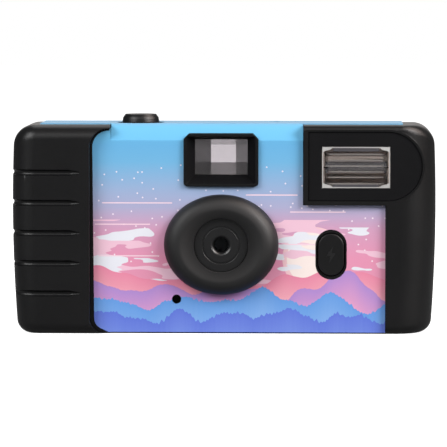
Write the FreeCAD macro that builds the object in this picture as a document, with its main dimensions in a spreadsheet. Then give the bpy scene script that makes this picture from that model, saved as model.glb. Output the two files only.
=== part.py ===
import FreeCAD, Part
import Sketcher
import math
import os

# A flat digital camera with a printed cover: x to the right seen from the front, y to the back, z up.
# The origin is at the middle of the foot, on the surface that the camera stands on.

# Driving dimensions in millimetres
cells = {
    # outline of the case, seen from the front
    "foot_width": 112.4,
    "top_width": 114.0,
    "side_radius": 430.0,
    "case_height": 56.7,
    "top_corner": 5.8,
    "foot_corner": 3.8,
    "wall": 1.8,
    "side_wall_foot": 1.4,
    "side_wall_top": 2.2,
    # depths of the faces, counted from the middle plane
    "grip_depth": 13.5,
    "flash_depth": 12.0,
    "art_depth": 10.2,
    "seam_depth": 9.0,
    "back_depth": 14.5,
    "back_edge": 3.0,
    "seam_gap": 0.05,
    # hand grip
    "grip_span": 18.5,
    "grip_round": 6.5,
    "grip_top_round": 4.0,
    "grip_foot_round": 3.0,
    "groove_count": 5,
    "groove_pitch": 8.19,
    "groove_low": 11.1,
    "groove_radius": 0.85,
    "groove_inset": 13.2,
    "groove_taper": 2.6,
    "groove_tip": 0.3,
    "groove_sink": 0.12,
    "groove_rise": 0.55,
    # recess for the printed cover
    "art_corner": 5.1,
    "brow_step": 0.4,
    "art_foot_corner": 4.1,
    "brow": 0.9,
    "band_height": 4.3,
    "band_run": 3.5,
    "cover_thickness": 0.3,
    "cover_gap": 0.15,
    "cover_left_inset": 4.8,
    "cover_right_inset": 6.3,
    "cover_foot": 0.4,
    # right column and flash block
    "column_inset": 10.9,
    "column_round": 9.5,
    "front_edge": 1.6,
    "column_foot_round": 2.4,
    "flash_edge": 21.6,
    "flash_block_rise": 21.6,
    "panel_left": 23.0,
    "panel_inset": 10.4,
    "panel_drop": 11.1,
    "panel_radius": 9.3,
    "panel_rim": 0.65,
    "panel_thickness": 0.8,
    "panel_sink": 0.4,
    "window_x": 35.8,
    "window_drop": 11.4,
    "window_width": 18.4,
    "window_rise": 11.2,
    "window_thickness": 1.6,
    "window_rib": 0.45,
    "rib_count": 7,
    "reflector_depth": 7.2,
    "reflector_wall": 0.6,
    "reflector_back": 3.4,
    "tube_radius": 1.3,
    "tube_reach": 11.6,
    "electrode_length": 2.0,
    "electrode_wall": 0.2,
    "flash_board_left": 27.0,
    "board_to_capacitor": 0.6,
    "flash_board_drop": 2.6,
    "capacitor_radius": 4.5,
    "capacitor_length": 28.5,
    "capacitor_inset": 7.5,
    "capacitor_y": 2.4,
    "transformer_size": 7.0,
    "transformer_foot": 10.0,
    # clearances
    "fit": 0.1,
    "slide_gap": 0.3,
    "pin_gap": 0.05,
    # viewfinder
    "finder_x": 0.75,
    "finder_below_top": 8.8,
    "finder_width": 20.1,
    "finder_rise": 14.3,
    "finder_drop": 0.7,
    "finder_proud": 1.0,
    "finder_rim": 0.7,
    "finder_cut": 1.5,
    "finder_corner": 1.1,
    "sight_width": 14.3,
    "sight_rise": 9.6,
    "sight_sink": 3.6,
    "lens_plate": 1.2,
    "tunnel_wall": 0.9,
    "eye_width": 6.9,
    "eye_rise": 4.9,
    "eyepiece_width": 16.0,
    "eyepiece_rise": 12.0,
    "eyepiece_proud": 1.0,
    "eyepiece_flare": 2.0,
    "eyepiece_spigot": 2.0,
    # lens
    "lens_x": 0.65,
    "lens_below_finder": 23.6,
    "bezel_width": 31.1,
    "bezel_rise": 27.2,
    "bezel_proud": 5.0,
    "bezel_crest": 0.72,
    "bezel_lip": 0.8,
    "disc_radius": 7.25,
    "disc_sink": 2.4,
    "funnel_radius": 2.95,
    "funnel_depth": 0.65,
    "funnel_curve": 1.3,
    "pupil_radius": 2.05,
    "spigot_radius": 6.1,
    "pane_radius": 3.0,
    "pane_thickness": 0.8,
    "barrel_radius": 4.0,
    "barrel_length": 6.6,
    "barrel_bore": 3.0,
    "lens_thickness": 1.2,
    "lens_bulge": 0.5,
    "holder_width": 13.0,
    "holder_depth": 6.2,
    "neck_radius": 5.2,
    "neck_length": 4.6,
    "filter_width": 6.0,
    "filter_thickness": 0.3,
    "sensor_width": 6.6,
    "sensor_rise": 5.4,
    "sensor_thickness": 1.0,
    # boards
    "board_thickness": 1.2,
    "board_depth": 5.0,
    "board_left_inset": 20.8,
    "board_right": 19.6,
    "board_foot": 3.0,
    "board_drop": 18.7,
    "ear_right": 13.0,
    "ear_drop": 6.2,
    "post_radius": 2.1,
    "post_left_inset": 24.2,
    "post_right": 15.8,
    "post_foot": 6.6,
    "post_drop": 22.8,
    "chip_thickness": 1.2,
    "processor_width": 10.0,
    "processor_x": 21.0,
    "processor_height": 22.0,
    "memory_width": 7.0,
    "memory_rise": 9.0,
    "memory_x": 13.6,
    "memory_height": 20.0,
    "microphone_x": 12.8,
    "microphone_height": 9.4,
    "microphone_hole": 1.25,
    "microphone_radius": 2.2,
    "microphone_length": 2.2,
    "buzzer_radius": 5.0,
    "buzzer_length": 3.0,
    "buzzer_x": 25.0,
    "buzzer_height": 14.0,
    # shot counter
    "counter_height": 28.0,
    "counter_width": 15.0,
    "counter_rise": 9.0,
    "counter_glass": 2.0,
    "counter_pane": 1.0,
    "counter_margin": 1.2,
    # shutter
    "shutter_x": 23.0,
    "button_radius": 5.1,
    "button_rise": 2.3,
    "button_flare": 0.25,
    "button_dish": 0.35,
    "button_edge": 0.9,
    "flange_reach": 0.9,
    "flange_thickness": 0.9,
    "collar_radius": 6.35,
    "collar_thickness": 0.6,
    "collar_sink": 0.1,
    "stem_radius": 1.5,
    "shutter_travel": 0.9,
    "spring_radius": 2.55,
    "spring_wire": 0.4,
    "spring_turns": 4,
    "switch_width": 6.0,
    "switch_length": 3.5,
    "plunger_radius": 1.7,
    "plunger_proud": 1.0,
    "plunger_depth": 1.7,
    # flash button
    "flash_button_x": 29.1,
    "flash_button_height": 21.6,
    "flash_button_width": 7.0,
    "flash_button_rise": 11.4,
    "flash_button_proud": 0.4,
    "well_width": 8.5,
    "well_rise": 13.6,
    "flash_travel": 0.6,
    # lamp on the top
    "lamp_x": 13.6,
    "lamp_y": 6.4,
    "lamp_radius": 1.5,
    "light_width": 3.0,
    "light_height": 2.4,
    "light_rise": 0.8,
    # cell in the grip
    "cell_radius": 7.0,
    "cell_headroom": 0.4,
    "cell_side_gap": 0.5,
    "cell_y": 3.3,
    "cell_button": 2.5,
    "contact_thickness": 1.0,
    "cradle_base": 1.3,
    "cradle_back": 8.6,
    # power slider on the back
    "slider_x": 24.0,
    "slider_drop": 18.2,
    "slider_width": 7.0,
    "slider_rise": 4.6,
    "slider_travel": 3.0,
    "slider_proud": 0.8,
    "slider_recess": 0.8,
    "slider_rib": 0.35,
    "slider_stem": 2.2,
    "lever_width": 1.2,
    "lever_proud": 1.4,
    "power_switch_width": 8.6,
    "power_switch_rise": 4.4,
    "power_switch_depth": 4.2,
    # port door on the right side
    "door_front": 0.4,
    "door_width": 7.2,
    "door_foot": 6.0,
    "door_length": 26.0,
    "door_thickness": 1.5,
    "pin_inset": 1.27,
    "door_gap": 0.2,
    "door_notch": 1.2,
    "pin_radius": 0.5,
    "pin_seat": 2.2,
    "port_board_depth": 6.0,
    "port_board_left": 39.6,
    "port_board_top": 33.6,
    "port_width": 9.0,
    "port_thickness": 3.2,
    "port_length": 7.3,
    "port_height": 11.5,
    "port_metal": 0.3,
    "socket_length": 13.8,
    "socket_width": 12.0,
    "socket_thickness": 1.9,
    "socket_height": 25.0,
    "card_length": 15.0,
    "card_width": 11.0,
    "card_thickness": 0.7,
    # case screws
    "boss_radius": 2.4,
    "boss_left_inset": 17.9,
    "boss_right": 23.4,
    "boss_foot": 5.0,
    "boss_drop": 5.2,
    "screw_radius": 1.0,
    "screw_head": 1.9,
    "screw_head_height": 1.3,
    "screw_length": 7.0,
    "screw_sink": 1.9,
    "screw_slot": 0.4,
    "board_screw_bite": 5.0,
    "ring_wall": 0.8,
    "grip_hollow_reach": 1.4,
    "groove_fade": 6.0,
    "cover_fold": 0.12,
    "locator_wall": 1.4,
    "disc_ring": 5.2,
    "disc_ring_width": 0.5,
    "disc_ring_depth": 0.25,
    "filter_seat": 1.2,
    "chamber_wall": 1.5,
    "bezel_shoulder": 0.93,
    "bezel_shoulder_drop": 1.5,
    "bezel_inner": 0.62,
    "bezel_inner_drop": 0.45,
    "board_screw_head": 1.8,
    "board_screw_height": 1.1,
    "board_gap": 0.05,
    "shutter_board_width": 13.0,
    "shutter_board_reach": 5.0,
    "shutter_board_thickness": 1.0,
    "counter_x": 0.8,
    "door_notch_depth": 0.5,
    "tongue": 0.7,
    "contact_width": 8.0,
    "reflector_floor": 3.2,
    "cut_over": 1.0,
    "tube_wall": 0.6,
    "grip_hollow_corner": 2.0,
    "contact_depth": 5.0,
    "capacitor_lift": 0.4,
    "port_board_foot": 6.2,
    "cradle_front": 2.4,
    "slider_corner": 1.3,
    "eyepiece_corner": 1.6,
    "eye_gap": 0.8,
    "eye_lens_lap": 1.4,
    "window_sink": 0.5,
    "well_lap": 0.6,
    "stem_length": 5.7,
    "element_inset": 0.4,
    "cell_tip": 1.2,
    "cradle_wall": 0.8,
    "lever_root": 1.5,
    "port_clear": 0.3,
    "card_proud": 0.6,
    "notch_length": 8.0,
    "fitting_root": 0.5,
}

document = FreeCAD.newDocument("retro_digital_camera")
sheet = document.addObject("Spreadsheet::Sheet", "Sizes")
for row, (name, value) in enumerate(cells.items(), start=1):
    sheet.set(f"A{row}", name)
    sheet.set(f"B{row}", str(value))
    sheet.setAlias(f"B{row}", name)
document.recompute()


class Size:
    # A length that knows its value and the formula that gives it from the sheet
    def __init__(self, value, formula):
        self.value = value
        self.formula = formula

    def __add__(self, other):
        return joined(self, "+", other, self.value + number(other))

    def __radd__(self, other):
        return joined(other, "+", self, number(other) + self.value)

    def __sub__(self, other):
        return joined(self, "-", other, self.value - number(other))

    def __rsub__(self, other):
        return joined(other, "-", self, number(other) - self.value)

    def __mul__(self, other):
        return joined(self, "*", other, self.value * number(other))

    def __rmul__(self, other):
        return joined(other, "*", self, number(other) * self.value)

    def __truediv__(self, other):
        return joined(self, "/", other, self.value / number(other))

    def __neg__(self):
        return Size(-self.value, f"(0 - {self.formula})")


def number(length):
    return length.value if isinstance(length, Size) else length


def formula(length):
    return length.formula if isinstance(length, Size) else f"({length})"


def joined(first, sign, second, value):
    return Size(value, f"({formula(first)} {sign} {formula(second)})")


def size(name):
    return Size(float(sheet.get(name)), f"Sizes.{name}")


def least(first, second):
    return Size(min(first.value, second.value), f"min({first.formula}; {second.formula})")


def bind(thing, field, length):
    thing.setExpression(field, formula(length))


# Places that several pieces share
half_top = size("top_width") / 2
half_foot = size("foot_width") / 2
case_height = size("case_height")
wall = size("wall")
fit = size("fit")
slide_gap = size("slide_gap")
pin_gap = size("pin_gap")
grip_front = -size("grip_depth")
flash_front = -size("flash_depth")
art_front = -size("art_depth")
seam = size("seam_depth")
back = size("back_depth")
inner_front = art_front + wall
inner_back = back - wall
ceiling = case_height - wall
floor = wall
inner_foot, inner_top = half_foot - size("side_wall_foot"), half_top - size("side_wall_top")
inner_half = least(inner_foot, inner_top)
grip_right = size("grip_span") - inner_half
finder_x = -size("finder_x")
finder_z = case_height - size("finder_below_top")
lens_x = -size("lens_x")
lens_z = finder_z - size("lens_below_finder")
shutter_x = -size("shutter_x")
board_front = size("board_depth")
board_back = board_front + size("board_thickness")
cover_top = case_height + size("cover_thickness")
cover_front = art_front - size("cover_thickness")
cell_y = -size("cell_y")
pieces = []


# Sketches, features and plain shapes.
# An outline is a list of corners, or a tuple (x, y, radius) for a circle.
def body(name, **place):
    made = document.addObject("PartDesign::Body", name)
    made.Label = name
    made.AllowCompound = True
    for axis, length in place.items():
        bind(made, f"Placement.Base.{axis}", length)
    return made


def origin_part(made, role):
    return next(part for part in made.Origin.OriginFeatures if part.Role == role)


def fix_point(drawn, edge, end, point):
    for kind, length in zip(("DistanceX", "DistanceY"), point):
        rule = drawn.addConstraint(Sketcher.Constraint(kind, -1, 1, edge, end, number(length)))
        bind(drawn, f"Constraints[{rule}]", length)


def fix_radius(drawn, edge, radius):
    rule = drawn.addConstraint(Sketcher.Constraint("Radius", edge, number(radius)))
    bind(drawn, f"Constraints[{rule}]", radius)


def draw_line(drawn, corners):
    # Each corner is (x, y), or (x, y, radius) where an arc leads on to the next corner.
    # A positive radius turns the arc counterclockwise.
    first = drawn.GeometryCount
    count = len(corners)
    ends = []
    for index, corner in enumerate(corners):
        start = [number(length) for length in corner[:2]]
        stop = [number(length) for length in corners[(index + 1) % count][:2]]
        if len(corner) == 2:
            drawn.addGeometry(
                Part.LineSegment(FreeCAD.Vector(*start), FreeCAD.Vector(*stop)), False)
            ends.append((1, 2))
            continue
        radius = number(corner[2])
        if radius > 0:
            drawn.addGeometry(arc_between(start, stop, radius), False)
            ends.append((1, 2))
        else:
            drawn.addGeometry(arc_between(stop, start, -radius), False)
            ends.append((2, 1))
    for index, corner in enumerate(corners):
        following = (index + 1) % count
        drawn.addConstraint(Sketcher.Constraint(
            "Coincident", first + index, ends[index][1], first + following, ends[following][0]))
        fix_point(drawn, first + index, ends[index][0], corner[:2])
        if len(corner) == 3:
            fix_radius(drawn, first + index, corner[2] if number(corner[2]) > 0 else -corner[2])


def arc_between(start, stop, radius):
    # The short arc that runs counterclockwise from start to stop
    run, rise = stop[0] - start[0], stop[1] - start[1]
    chord = math.hypot(run, rise)
    height = math.sqrt(max(radius * radius - chord * chord / 4, 0))
    middle_x = (start[0] + stop[0]) / 2 - rise / chord * height
    middle_y = (start[1] + stop[1]) / 2 + run / chord * height
    circle = Part.Circle(FreeCAD.Vector(middle_x, middle_y, 0), FreeCAD.Vector(0, 0, 1), radius)
    return Part.ArcOfCircle(
        circle,
        math.atan2(start[1] - middle_y, start[0] - middle_x),
        math.atan2(stop[1] - middle_y, stop[0] - middle_x))


def draw_circle(drawn, x, y, radius):
    circle = Part.Circle(
        FreeCAD.Vector(number(x), number(y), 0), FreeCAD.Vector(0, 0, 1), number(radius))
    edge = drawn.addGeometry(circle, False)
    fix_point(drawn, edge, 3, (x, y))
    fix_radius(drawn, edge, radius)


def sketch(made, role, at, name, *outlines):
    # The front plane's normal points to the front, so its offset counts from y = 0 forwards
    drawn = made.newObject("Sketcher::SketchObject", name)
    drawn.AttachmentSupport = [(origin_part(made, role), "")]
    drawn.MapMode = "FlatFace"
    bind(drawn, "AttachmentOffset.Base.z", -at if role == "XZ_Plane" else at)
    for outline in outlines:
        if isinstance(outline, tuple):
            draw_circle(drawn, *outline)
        else:
            draw_line(drawn, outline)
    return drawn


def box_line(left, low, right, high):
    return [(left, low), (right, low), (right, high), (left, high)]


def middle_box(x, y, width, rise):
    return box_line(x - width / 2, y - rise / 2, x + width / 2, y + rise / 2)


def round_box(left, low, right, high, radius):
    return [
        (left + radius, low), (right - radius, low, radius),
        (right, low + radius), (right, high - radius, radius),
        (right - radius, high), (left + radius, high, radius),
        (left, high - radius), (left, low + radius, radius)]


def pill(x, y, width, rise):
    radius = width / 2
    straight = rise / 2 - radius
    return [
        (x + radius, y - straight), (x + radius, y + straight, radius),
        (x, y + rise / 2, radius), (x - radius, y + straight),
        (x - radius, y - straight, radius), (x, y - rise / 2, radius)]


def feature(made, kind, profile, name, length):
    added = made.newObject(f"PartDesign::{kind}", name)
    added.Profile = profile
    added.Refine = False
    bind(added, "Length", length)
    return added


def raised(made, name, front, rear, *outlines):
    # Material across the camera, from one depth to another
    drawn = sketch(made, "XZ_Plane", rear, f"{name}_line", *outlines)
    return feature(made, "Pad", drawn, name, rear - front)


def opening(made, name, front, rear, *outlines):
    drawn = sketch(made, "XZ_Plane", front, f"{name}_line", *outlines)
    return feature(made, "Pocket", drawn, name, rear - front)


def standing(made, name, low, high, *outlines):
    # Material that stands up the camera, from one height to another
    drawn = sketch(made, "XY_Plane", low, f"{name}_line", *outlines)
    return feature(made, "Pad", drawn, name, high - low)


def across(made, name, left, right, *outlines):
    # Material from side to side; its corners are depth and height
    drawn = sketch(made, "YZ_Plane", left, f"{name}_line", *outlines)
    return feature(made, "Pad", drawn, name, right - left)


def through_x(made, name, left, right, *outlines):
    # A cut from side to side; its corners are depth and height
    drawn = sketch(made, "YZ_Plane", right, f"{name}_line", *outlines)
    return feature(made, "Pocket", drawn, name, right - left)


def turned(name, role, profile_role, corners, **place):
    # A round piece about its own axis; its corners are radius and place along the axis
    made = body(name, **place)
    drawn = sketch(made, profile_role, zero, f"{name}_line", corners)
    added = made.newObject("PartDesign::Revolution", f"{name}_turn")
    added.Profile = drawn
    added.ReferenceAxis = (origin_part(made, role), [""])
    added.Angle = 360
    added.Refine = False
    return made


def turned_across(name, corners, x, z):
    return turned(name, "Y_Axis", "XY_Plane", corners, x=x, z=z)


def turned_up(name, corners, x, y):
    return turned(name, "Z_Axis", "XZ_Plane", corners, x=x, y=y)


def plate(name, front, rear, *outlines):
    made = body(name)
    raised(made, f"{name}_plate", front, rear, *outlines)
    return made


def tapered(made, kind, name, front, front_line, rear, rear_line):
    # A loft between two outlines across the camera
    first = sketch(made, "XZ_Plane", front, f"{name}_front", front_line)
    last = sketch(made, "XZ_Plane", rear, f"{name}_rear", rear_line)
    added = made.newObject(f"PartDesign::{kind}Loft", name)
    added.Profile = first
    added.Sections = [last]
    added.Ruled = True
    added.Refine = False
    return added


def box(name, low, high):
    made = document.addObject("Part::Box", name)
    made.Label = name
    for field, axis, start, stop in zip(("Length", "Width", "Height"), "xyz", low, high):
        bind(made, field, stop - start)
        bind(made, f"Placement.Base.{axis}", start)
    return made


turns = {
    "x": FreeCAD.Rotation(FreeCAD.Vector(0, 1, 0), 90),
    "y": FreeCAD.Rotation(FreeCAD.Vector(1, 0, 0), -90),
    "z": FreeCAD.Rotation(),
    "corner": FreeCAD.Rotation(FreeCAD.Vector(0, 0, 1), 180),
}


def primitive(kind, name, turn, start, **lengths):
    made = document.addObject(f"Part::{kind}", name)
    made.Label = name
    made.Placement = FreeCAD.Placement(FreeCAD.Vector(), turns[turn])
    for axis, place in zip("xyz", start):
        bind(made, f"Placement.Base.{axis}", place)
    for field, length in lengths.items():
        bind(made, field, length)
    return made


def cylinder(name, axis, start, radius, length):
    return primitive("Cylinder", name, axis, start, Radius=radius, Height=length)


def cut(name, base, *tools):
    made = document.addObject("Part::Cut", name)
    made.Base = base
    made.Tool = tools[0] if len(tools) == 1 else fuse(f"{name}_tools", *tools)
    made.Label = name
    return made


def fuse(name, *shapes):
    made = document.addObject("Part::MultiFuse", name)
    made.Shapes = list(shapes)
    made.Label = name
    return made


def common_of(name, *shapes):
    made = document.addObject("Part::MultiCommon", name)
    made.Shapes = list(shapes)
    made.Label = name
    return made


def group(name, *shapes):
    made = document.addObject("Part::Compound", name)
    made.Links = list(shapes)
    made.Label = name
    return made


def keep(name, made):
    made.Label = name
    pieces.append(made)


# Places worked out from the sizes
zero = wall * 0
over = size("cut_over")
widest = (half_top + half_foot) / 2 + case_height * case_height / size("side_radius") / 8
cell_radius = size("cell_radius")
cell_x = cell_radius + size("cell_side_gap") - inner_half
band_foot = case_height - size("band_height")
band_top = art_front + size("band_run")
column_edge = inner_half - size("column_inset")
flash_edge = size("flash_edge")
flash_foot = case_height - size("flash_block_rise")
art_corner = size("art_corner")
art_foot_corner = size("art_foot_corner")
brow_foot = case_height - size("brow")
brow_right = grip_right + art_corner + size("brow_step")
# Inside the column's rounding the hollow is narrower, and under the band it is lower
round_reach = size("column_round") - wall
hollow_front = flash_front + size("column_round") - round_reach * 0.45
column_hollow = widest - size("column_round") + round_reach * 0.6
band_ceiling = ceiling - size("band_height")
hollow_corner = size("top_corner") - wall
finder_front = cover_front - size("finder_proud")
finder_back = finder_front + size("sight_sink")
sight_width, sight_rise = size("sight_width"), size("sight_rise")
tunnel_wall = size("tunnel_wall")
tunnel_width = sight_width + tunnel_wall * 2
tunnel_rise = sight_rise + tunnel_wall * 2
window_x, window_z = size("window_x"), case_height - size("window_drop")
window_width, window_rise = size("window_width"), size("window_rise")
flash_button_x, flash_button_z = size("flash_button_x"), size("flash_button_height")
flash_button_width, flash_button_rise = size("flash_button_width"), size("flash_button_rise")
button_radius = size("button_radius")
flange_radius = button_radius + size("flange_reach")
flange_top = ceiling - fit
flange_foot = flange_top - size("flange_thickness")
collar_radius = size("collar_radius")
collar_top = case_height - size("collar_sink")
collar_foot = collar_top - size("collar_thickness")
lamp_x, lamp_y, lamp_radius = size("lamp_x"), size("lamp_y"), size("lamp_radius")
board_top = case_height - size("board_drop")
light_top = board_top + size("light_rise")
microphone_x, microphone_z = -size("microphone_x"), size("microphone_height")
panel_floor = flash_front + size("panel_sink") + size("panel_thickness")
door_front, door_width = size("door_front"), size("door_width")
door_foot, door_length = size("door_foot"), size("door_length")
door_gap, door_thickness = size("door_gap"), size("door_thickness")
door_rear, door_top = door_front + door_width, door_foot + door_length
door_middle = door_foot + door_length / 2
door_side = half_foot + (half_top - half_foot) * door_middle / case_height
door_bulge = door_middle * (case_height - door_middle) / size("side_radius") / 2
pin_x = door_side + door_bulge - size("pin_inset")
pin_y = door_front + door_thickness
screw_radius = size("screw_radius")
screw_head_back = back - size("screw_sink")
screw_head_front = screw_head_back - size("screw_head_height")
screw_tip = screw_head_front - size("screw_length")
boss_places = [
    (x, z) for x in (size("boss_left_inset") - inner_half, size("boss_right"))
    for z in (size("boss_foot"), case_height - size("boss_drop"))]
post_places = [
    (size("post_left_inset") - inner_half, size("post_foot")),
    (size("post_right"), size("post_foot")),
    (size("post_right"), case_height - size("post_drop"))]


# Outlines that several pieces share
def case_line():
    side = size("side_radius")
    return [
        (-half_foot, zero), (half_foot, zero, side), (half_top, case_height),
        (-half_top, case_height, side)]


def art_field(gap):
    # The printed field of the front, open at the foot and at the top
    return [
        (grip_right + art_foot_corner, -over), (column_edge - gap, -over),
        (column_edge - gap, flash_foot - gap), (flash_edge - gap, flash_foot - gap),
        (flash_edge - gap, case_height + over), (brow_right + gap, case_height + over),
        (brow_right + gap, brow_foot - gap),
        (grip_right + art_corner, brow_foot - gap, art_corner - gap),
        (grip_right + gap, brow_foot - art_corner),
        (grip_right + gap, art_foot_corner, art_foot_corner - gap),
        (grip_right + art_foot_corner, zero + gap)]


def panel_line(gap):
    radius = size("panel_radius") + gap
    left = size("panel_left") - gap
    x, z = inner_half - size("panel_inset"), case_height - size("panel_drop")
    return [
        (left, z - radius), (x, z - radius, radius), (x + radius, z, radius),
        (x, z + radius), (left, z + radius)]


def finder_line(gap):
    # The viewfinder bezel: cut corners above, small round corners below
    width, rise = size("finder_width") / 2 + gap, size("finder_rise") / 2 + gap
    z = finder_z - size("finder_drop")
    slope, radius = size("finder_cut"), size("finder_corner")
    left, right, low, high = finder_x - width, finder_x + width, z - rise, z + rise
    return [
        (left + radius, low), (right - radius, low, radius), (right, low + radius),
        (right, high - slope), (right - slope, high), (left + slope, high),
        (left, high - slope), (left, low + radius, radius)]


def hollow_line(gap):
    # The inside of the case follows its leaning sides
    low, high = floor + gap, ceiling - gap
    radius = hollow_corner
    foot, top = inner_foot - gap, inner_top - gap
    return [
        (radius - foot, low), (foot - radius, low, radius), (foot, low + radius),
        (top, high - radius, radius), (top - radius, high), (radius - top, high, radius),
        (-top, high - radius), (-foot, low + radius, radius)]


def round_corners(made, base, high, radius, name):
    # Rounds the two long edges at the top or at the foot of the case
    document.recompute()
    names = []
    case = base.Shape.BoundBox
    for index, edge in enumerate(base.Shape.Edges, start=1):
        place = edge.BoundBox
        runs_back = place.YLength > place.XLength + place.ZLength
        at_side = abs(place.Center.x) > case.XLength / 3
        if runs_back and at_side and (place.Center.z > case.Center.z) == high:
            names.append(f"Edge{index}")
    rounded = made.newObject("PartDesign::Fillet", name)
    rounded.Base = (base, names)
    rounded.Refine = False
    bind(rounded, "Radius", radius)
    return rounded


def case_blank(name, front, rear):
    made = body(name)
    whole = raised(made, f"{name}_case", front, rear, case_line())
    upper = round_corners(made, whole, True, size("top_corner"), f"{name}_top_corners")
    round_corners(made, upper, False, size("foot_corner"), f"{name}_foot_corners")
    return made


# Front shell with the grip, the flash block and the column
def front_end(name, front, side, left, right, rounds):
    # One end of the front shell between two upright planes. The rounds are those of its upper
    # and lower corner and of its upright, upper and lower front edge, and flow into each other.
    blank = plate(f"{name}_blank", front, seam, case_line())
    document.recompute()
    case = blank.Shape.BoundBox
    edges = []
    for index, edge in enumerate(blank.Shape.Edges, start=1):
        place = edge.BoundBox
        upper = place.Center.z > case.Center.z
        if place.YLength > place.XLength + place.ZLength:
            radius = rounds[0 if upper else 1]
        elif place.ZLength > place.XLength:
            radius = rounds[2]
        else:
            radius = rounds[3 if upper else 4]
        in_front = place.YMax < case.Center.y or place.YLength > place.XLength
        along_case = place.XLength > case.XLength / 2
        if in_front and (along_case or place.Center.x * side > 0):
            edges.append((index, number(radius), number(radius)))
    rounded = document.addObject("Part::Fillet", f"{name}_rounded")
    rounded.Base = blank
    rounded.Edges = edges
    block = box(f"{name}_limits", (left, front - over, -over), (right, seam + over, case_height + over))
    return common_of(name, rounded, block)


def make_front_case():
    grip = front_end("grip_end", grip_front, -1, -widest - over, brow_right, [
        size("top_corner"), size("foot_corner"), size("grip_round"), size("grip_top_round"),
        size("grip_foot_round")])
    column = front_end("column_end", flash_front, 1, brow_right, widest + over, [
        size("top_corner"), size("foot_corner"), size("column_round"), size("front_edge"),
        size("column_foot_round")])
    rim = plate("panel_rim", flash_front, inner_front, panel_line(size("panel_rim")))

    waste = body("front_waste")
    raised(waste, "art_level", grip_front - over, art_front, art_field(zero))
    band = [
        (art_front, band_foot), (band_top, case_height), (band_top, case_height + over),
        (art_front - over, case_height + over), (art_front - over, band_foot)]
    across(waste, "band", brow_right, flash_edge, band)
    return cut("front_case", fuse("front_ends", grip, column, rim), waste)


def make_hollow():
    # The space inside the front shell, deeper in the grip
    hollow = body("front_hollow")
    raised(
        hollow, "main_hollow", hollow_front, seam + over, hollow_line(zero))
    raised(
        hollow, "forward_hollow", inner_front, seam,
        round_box(-inner_half, floor, column_hollow, band_ceiling, hollow_corner))
    grip_left = -widest + size("grip_round") - size("grip_hollow_reach")
    raised(
        hollow, "grip_hollow", grip_front + wall, seam,
        round_box(
            grip_left, size("grip_foot_round"), grip_right - wall, band_ceiling,
            size("grip_hollow_corner")))
    return hollow


def make_fittings():
    # Frame behind the viewfinder, screw bosses, board posts and the microphone's ring
    fittings = body("front_fittings")
    finder_side = size("finder_width") / 2 + wall
    finder_low = finder_z - size("finder_rise") / 2 - wall
    root = inner_front - size("fitting_root")
    raised(
        fittings, "finder_frame", root, hollow_front,
        box_line(finder_x - finder_side, finder_low, finder_x + finder_side, band_ceiling))
    raised(fittings, "bosses", root, seam, *[(x, z, size("boss_radius")) for x, z in boss_places])
    raised(
        fittings, "posts", root, board_front,
        *[(x, z, size("post_radius")) for x, z in post_places])
    ring = size("microphone_radius") + size("ring_wall")
    ring_back = inner_front + size("microphone_length")
    raised(fittings, "ring", root, ring_back, (microphone_x, microphone_z, ring))
    return fittings


def make_openings():
    holes = body("front_holes")
    pilot = screw_radius + pin_gap
    raised(
        holes, "pilots", screw_tip - slide_gap, seam + over,
        *[(x, z, pilot) for x, z in boss_places])
    raised(
        holes, "post_pilots", board_front - size("board_screw_bite"), board_front + over,
        *[(x, z, pilot) for x, z in post_places])
    raised(
        holes, "ring_seat", inner_front, inner_front + size("microphone_length") + over,
        (microphone_x, microphone_z, size("microphone_radius") + pin_gap))

    # In the front
    button_hole = pill(
        flash_button_x, flash_button_z, flash_button_width + slide_gap * 2,
        flash_button_rise + slide_gap * 2)
    raised(
        holes, "front_openings", art_front - over, inner_front + pin_gap, button_hole,
        (microphone_x, microphone_z, size("microphone_hole")),
        (lens_x, lens_z, size("spigot_radius") + fit))
    raised(holes, "finder_seat", art_front - over, finder_back, finder_line(fit))
    raised(
        holes, "sight_opening", finder_back - over, hollow_front + pin_gap,
        middle_box(finder_x, finder_z, tunnel_width + fit * 2, tunnel_rise + fit * 2))
    raised(holes, "panel_seat", flash_front - over, panel_floor, panel_line(fit))
    raised(
        holes, "window_opening", panel_floor - over, hollow_front + pin_gap,
        middle_box(window_x, window_z, window_width + fit * 2, window_rise + fit * 2))

    # In the top
    standing(
        holes, "top_openings", ceiling - pin_gap, case_height + over,
        (shutter_x, zero, button_radius + size("button_flare") + fit),
        (lamp_x, lamp_y, lamp_radius + fit))
    standing(
        holes, "collar_seat", collar_foot, case_height + over, (shutter_x, zero, collar_radius + fit))
    standing(
        holes, "flange_room", flange_foot - size("shutter_travel") - slide_gap, ceiling,
        (shutter_x, zero, flange_radius + slide_gap))

    # Port opening, and the hole for the door's pin above and below it
    port = box_line(
        door_front - door_gap, door_foot - door_gap, door_rear + door_gap, door_top + door_gap)
    across(holes, "port_opening", inner_half - over, widest + over, port)
    pin_seat = size("pin_seat") + door_gap
    standing(
        holes, "pin_hole", door_foot - pin_seat, door_top + pin_seat,
        (pin_x, pin_y, size("pin_radius") + pin_gap))
    return holes


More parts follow.
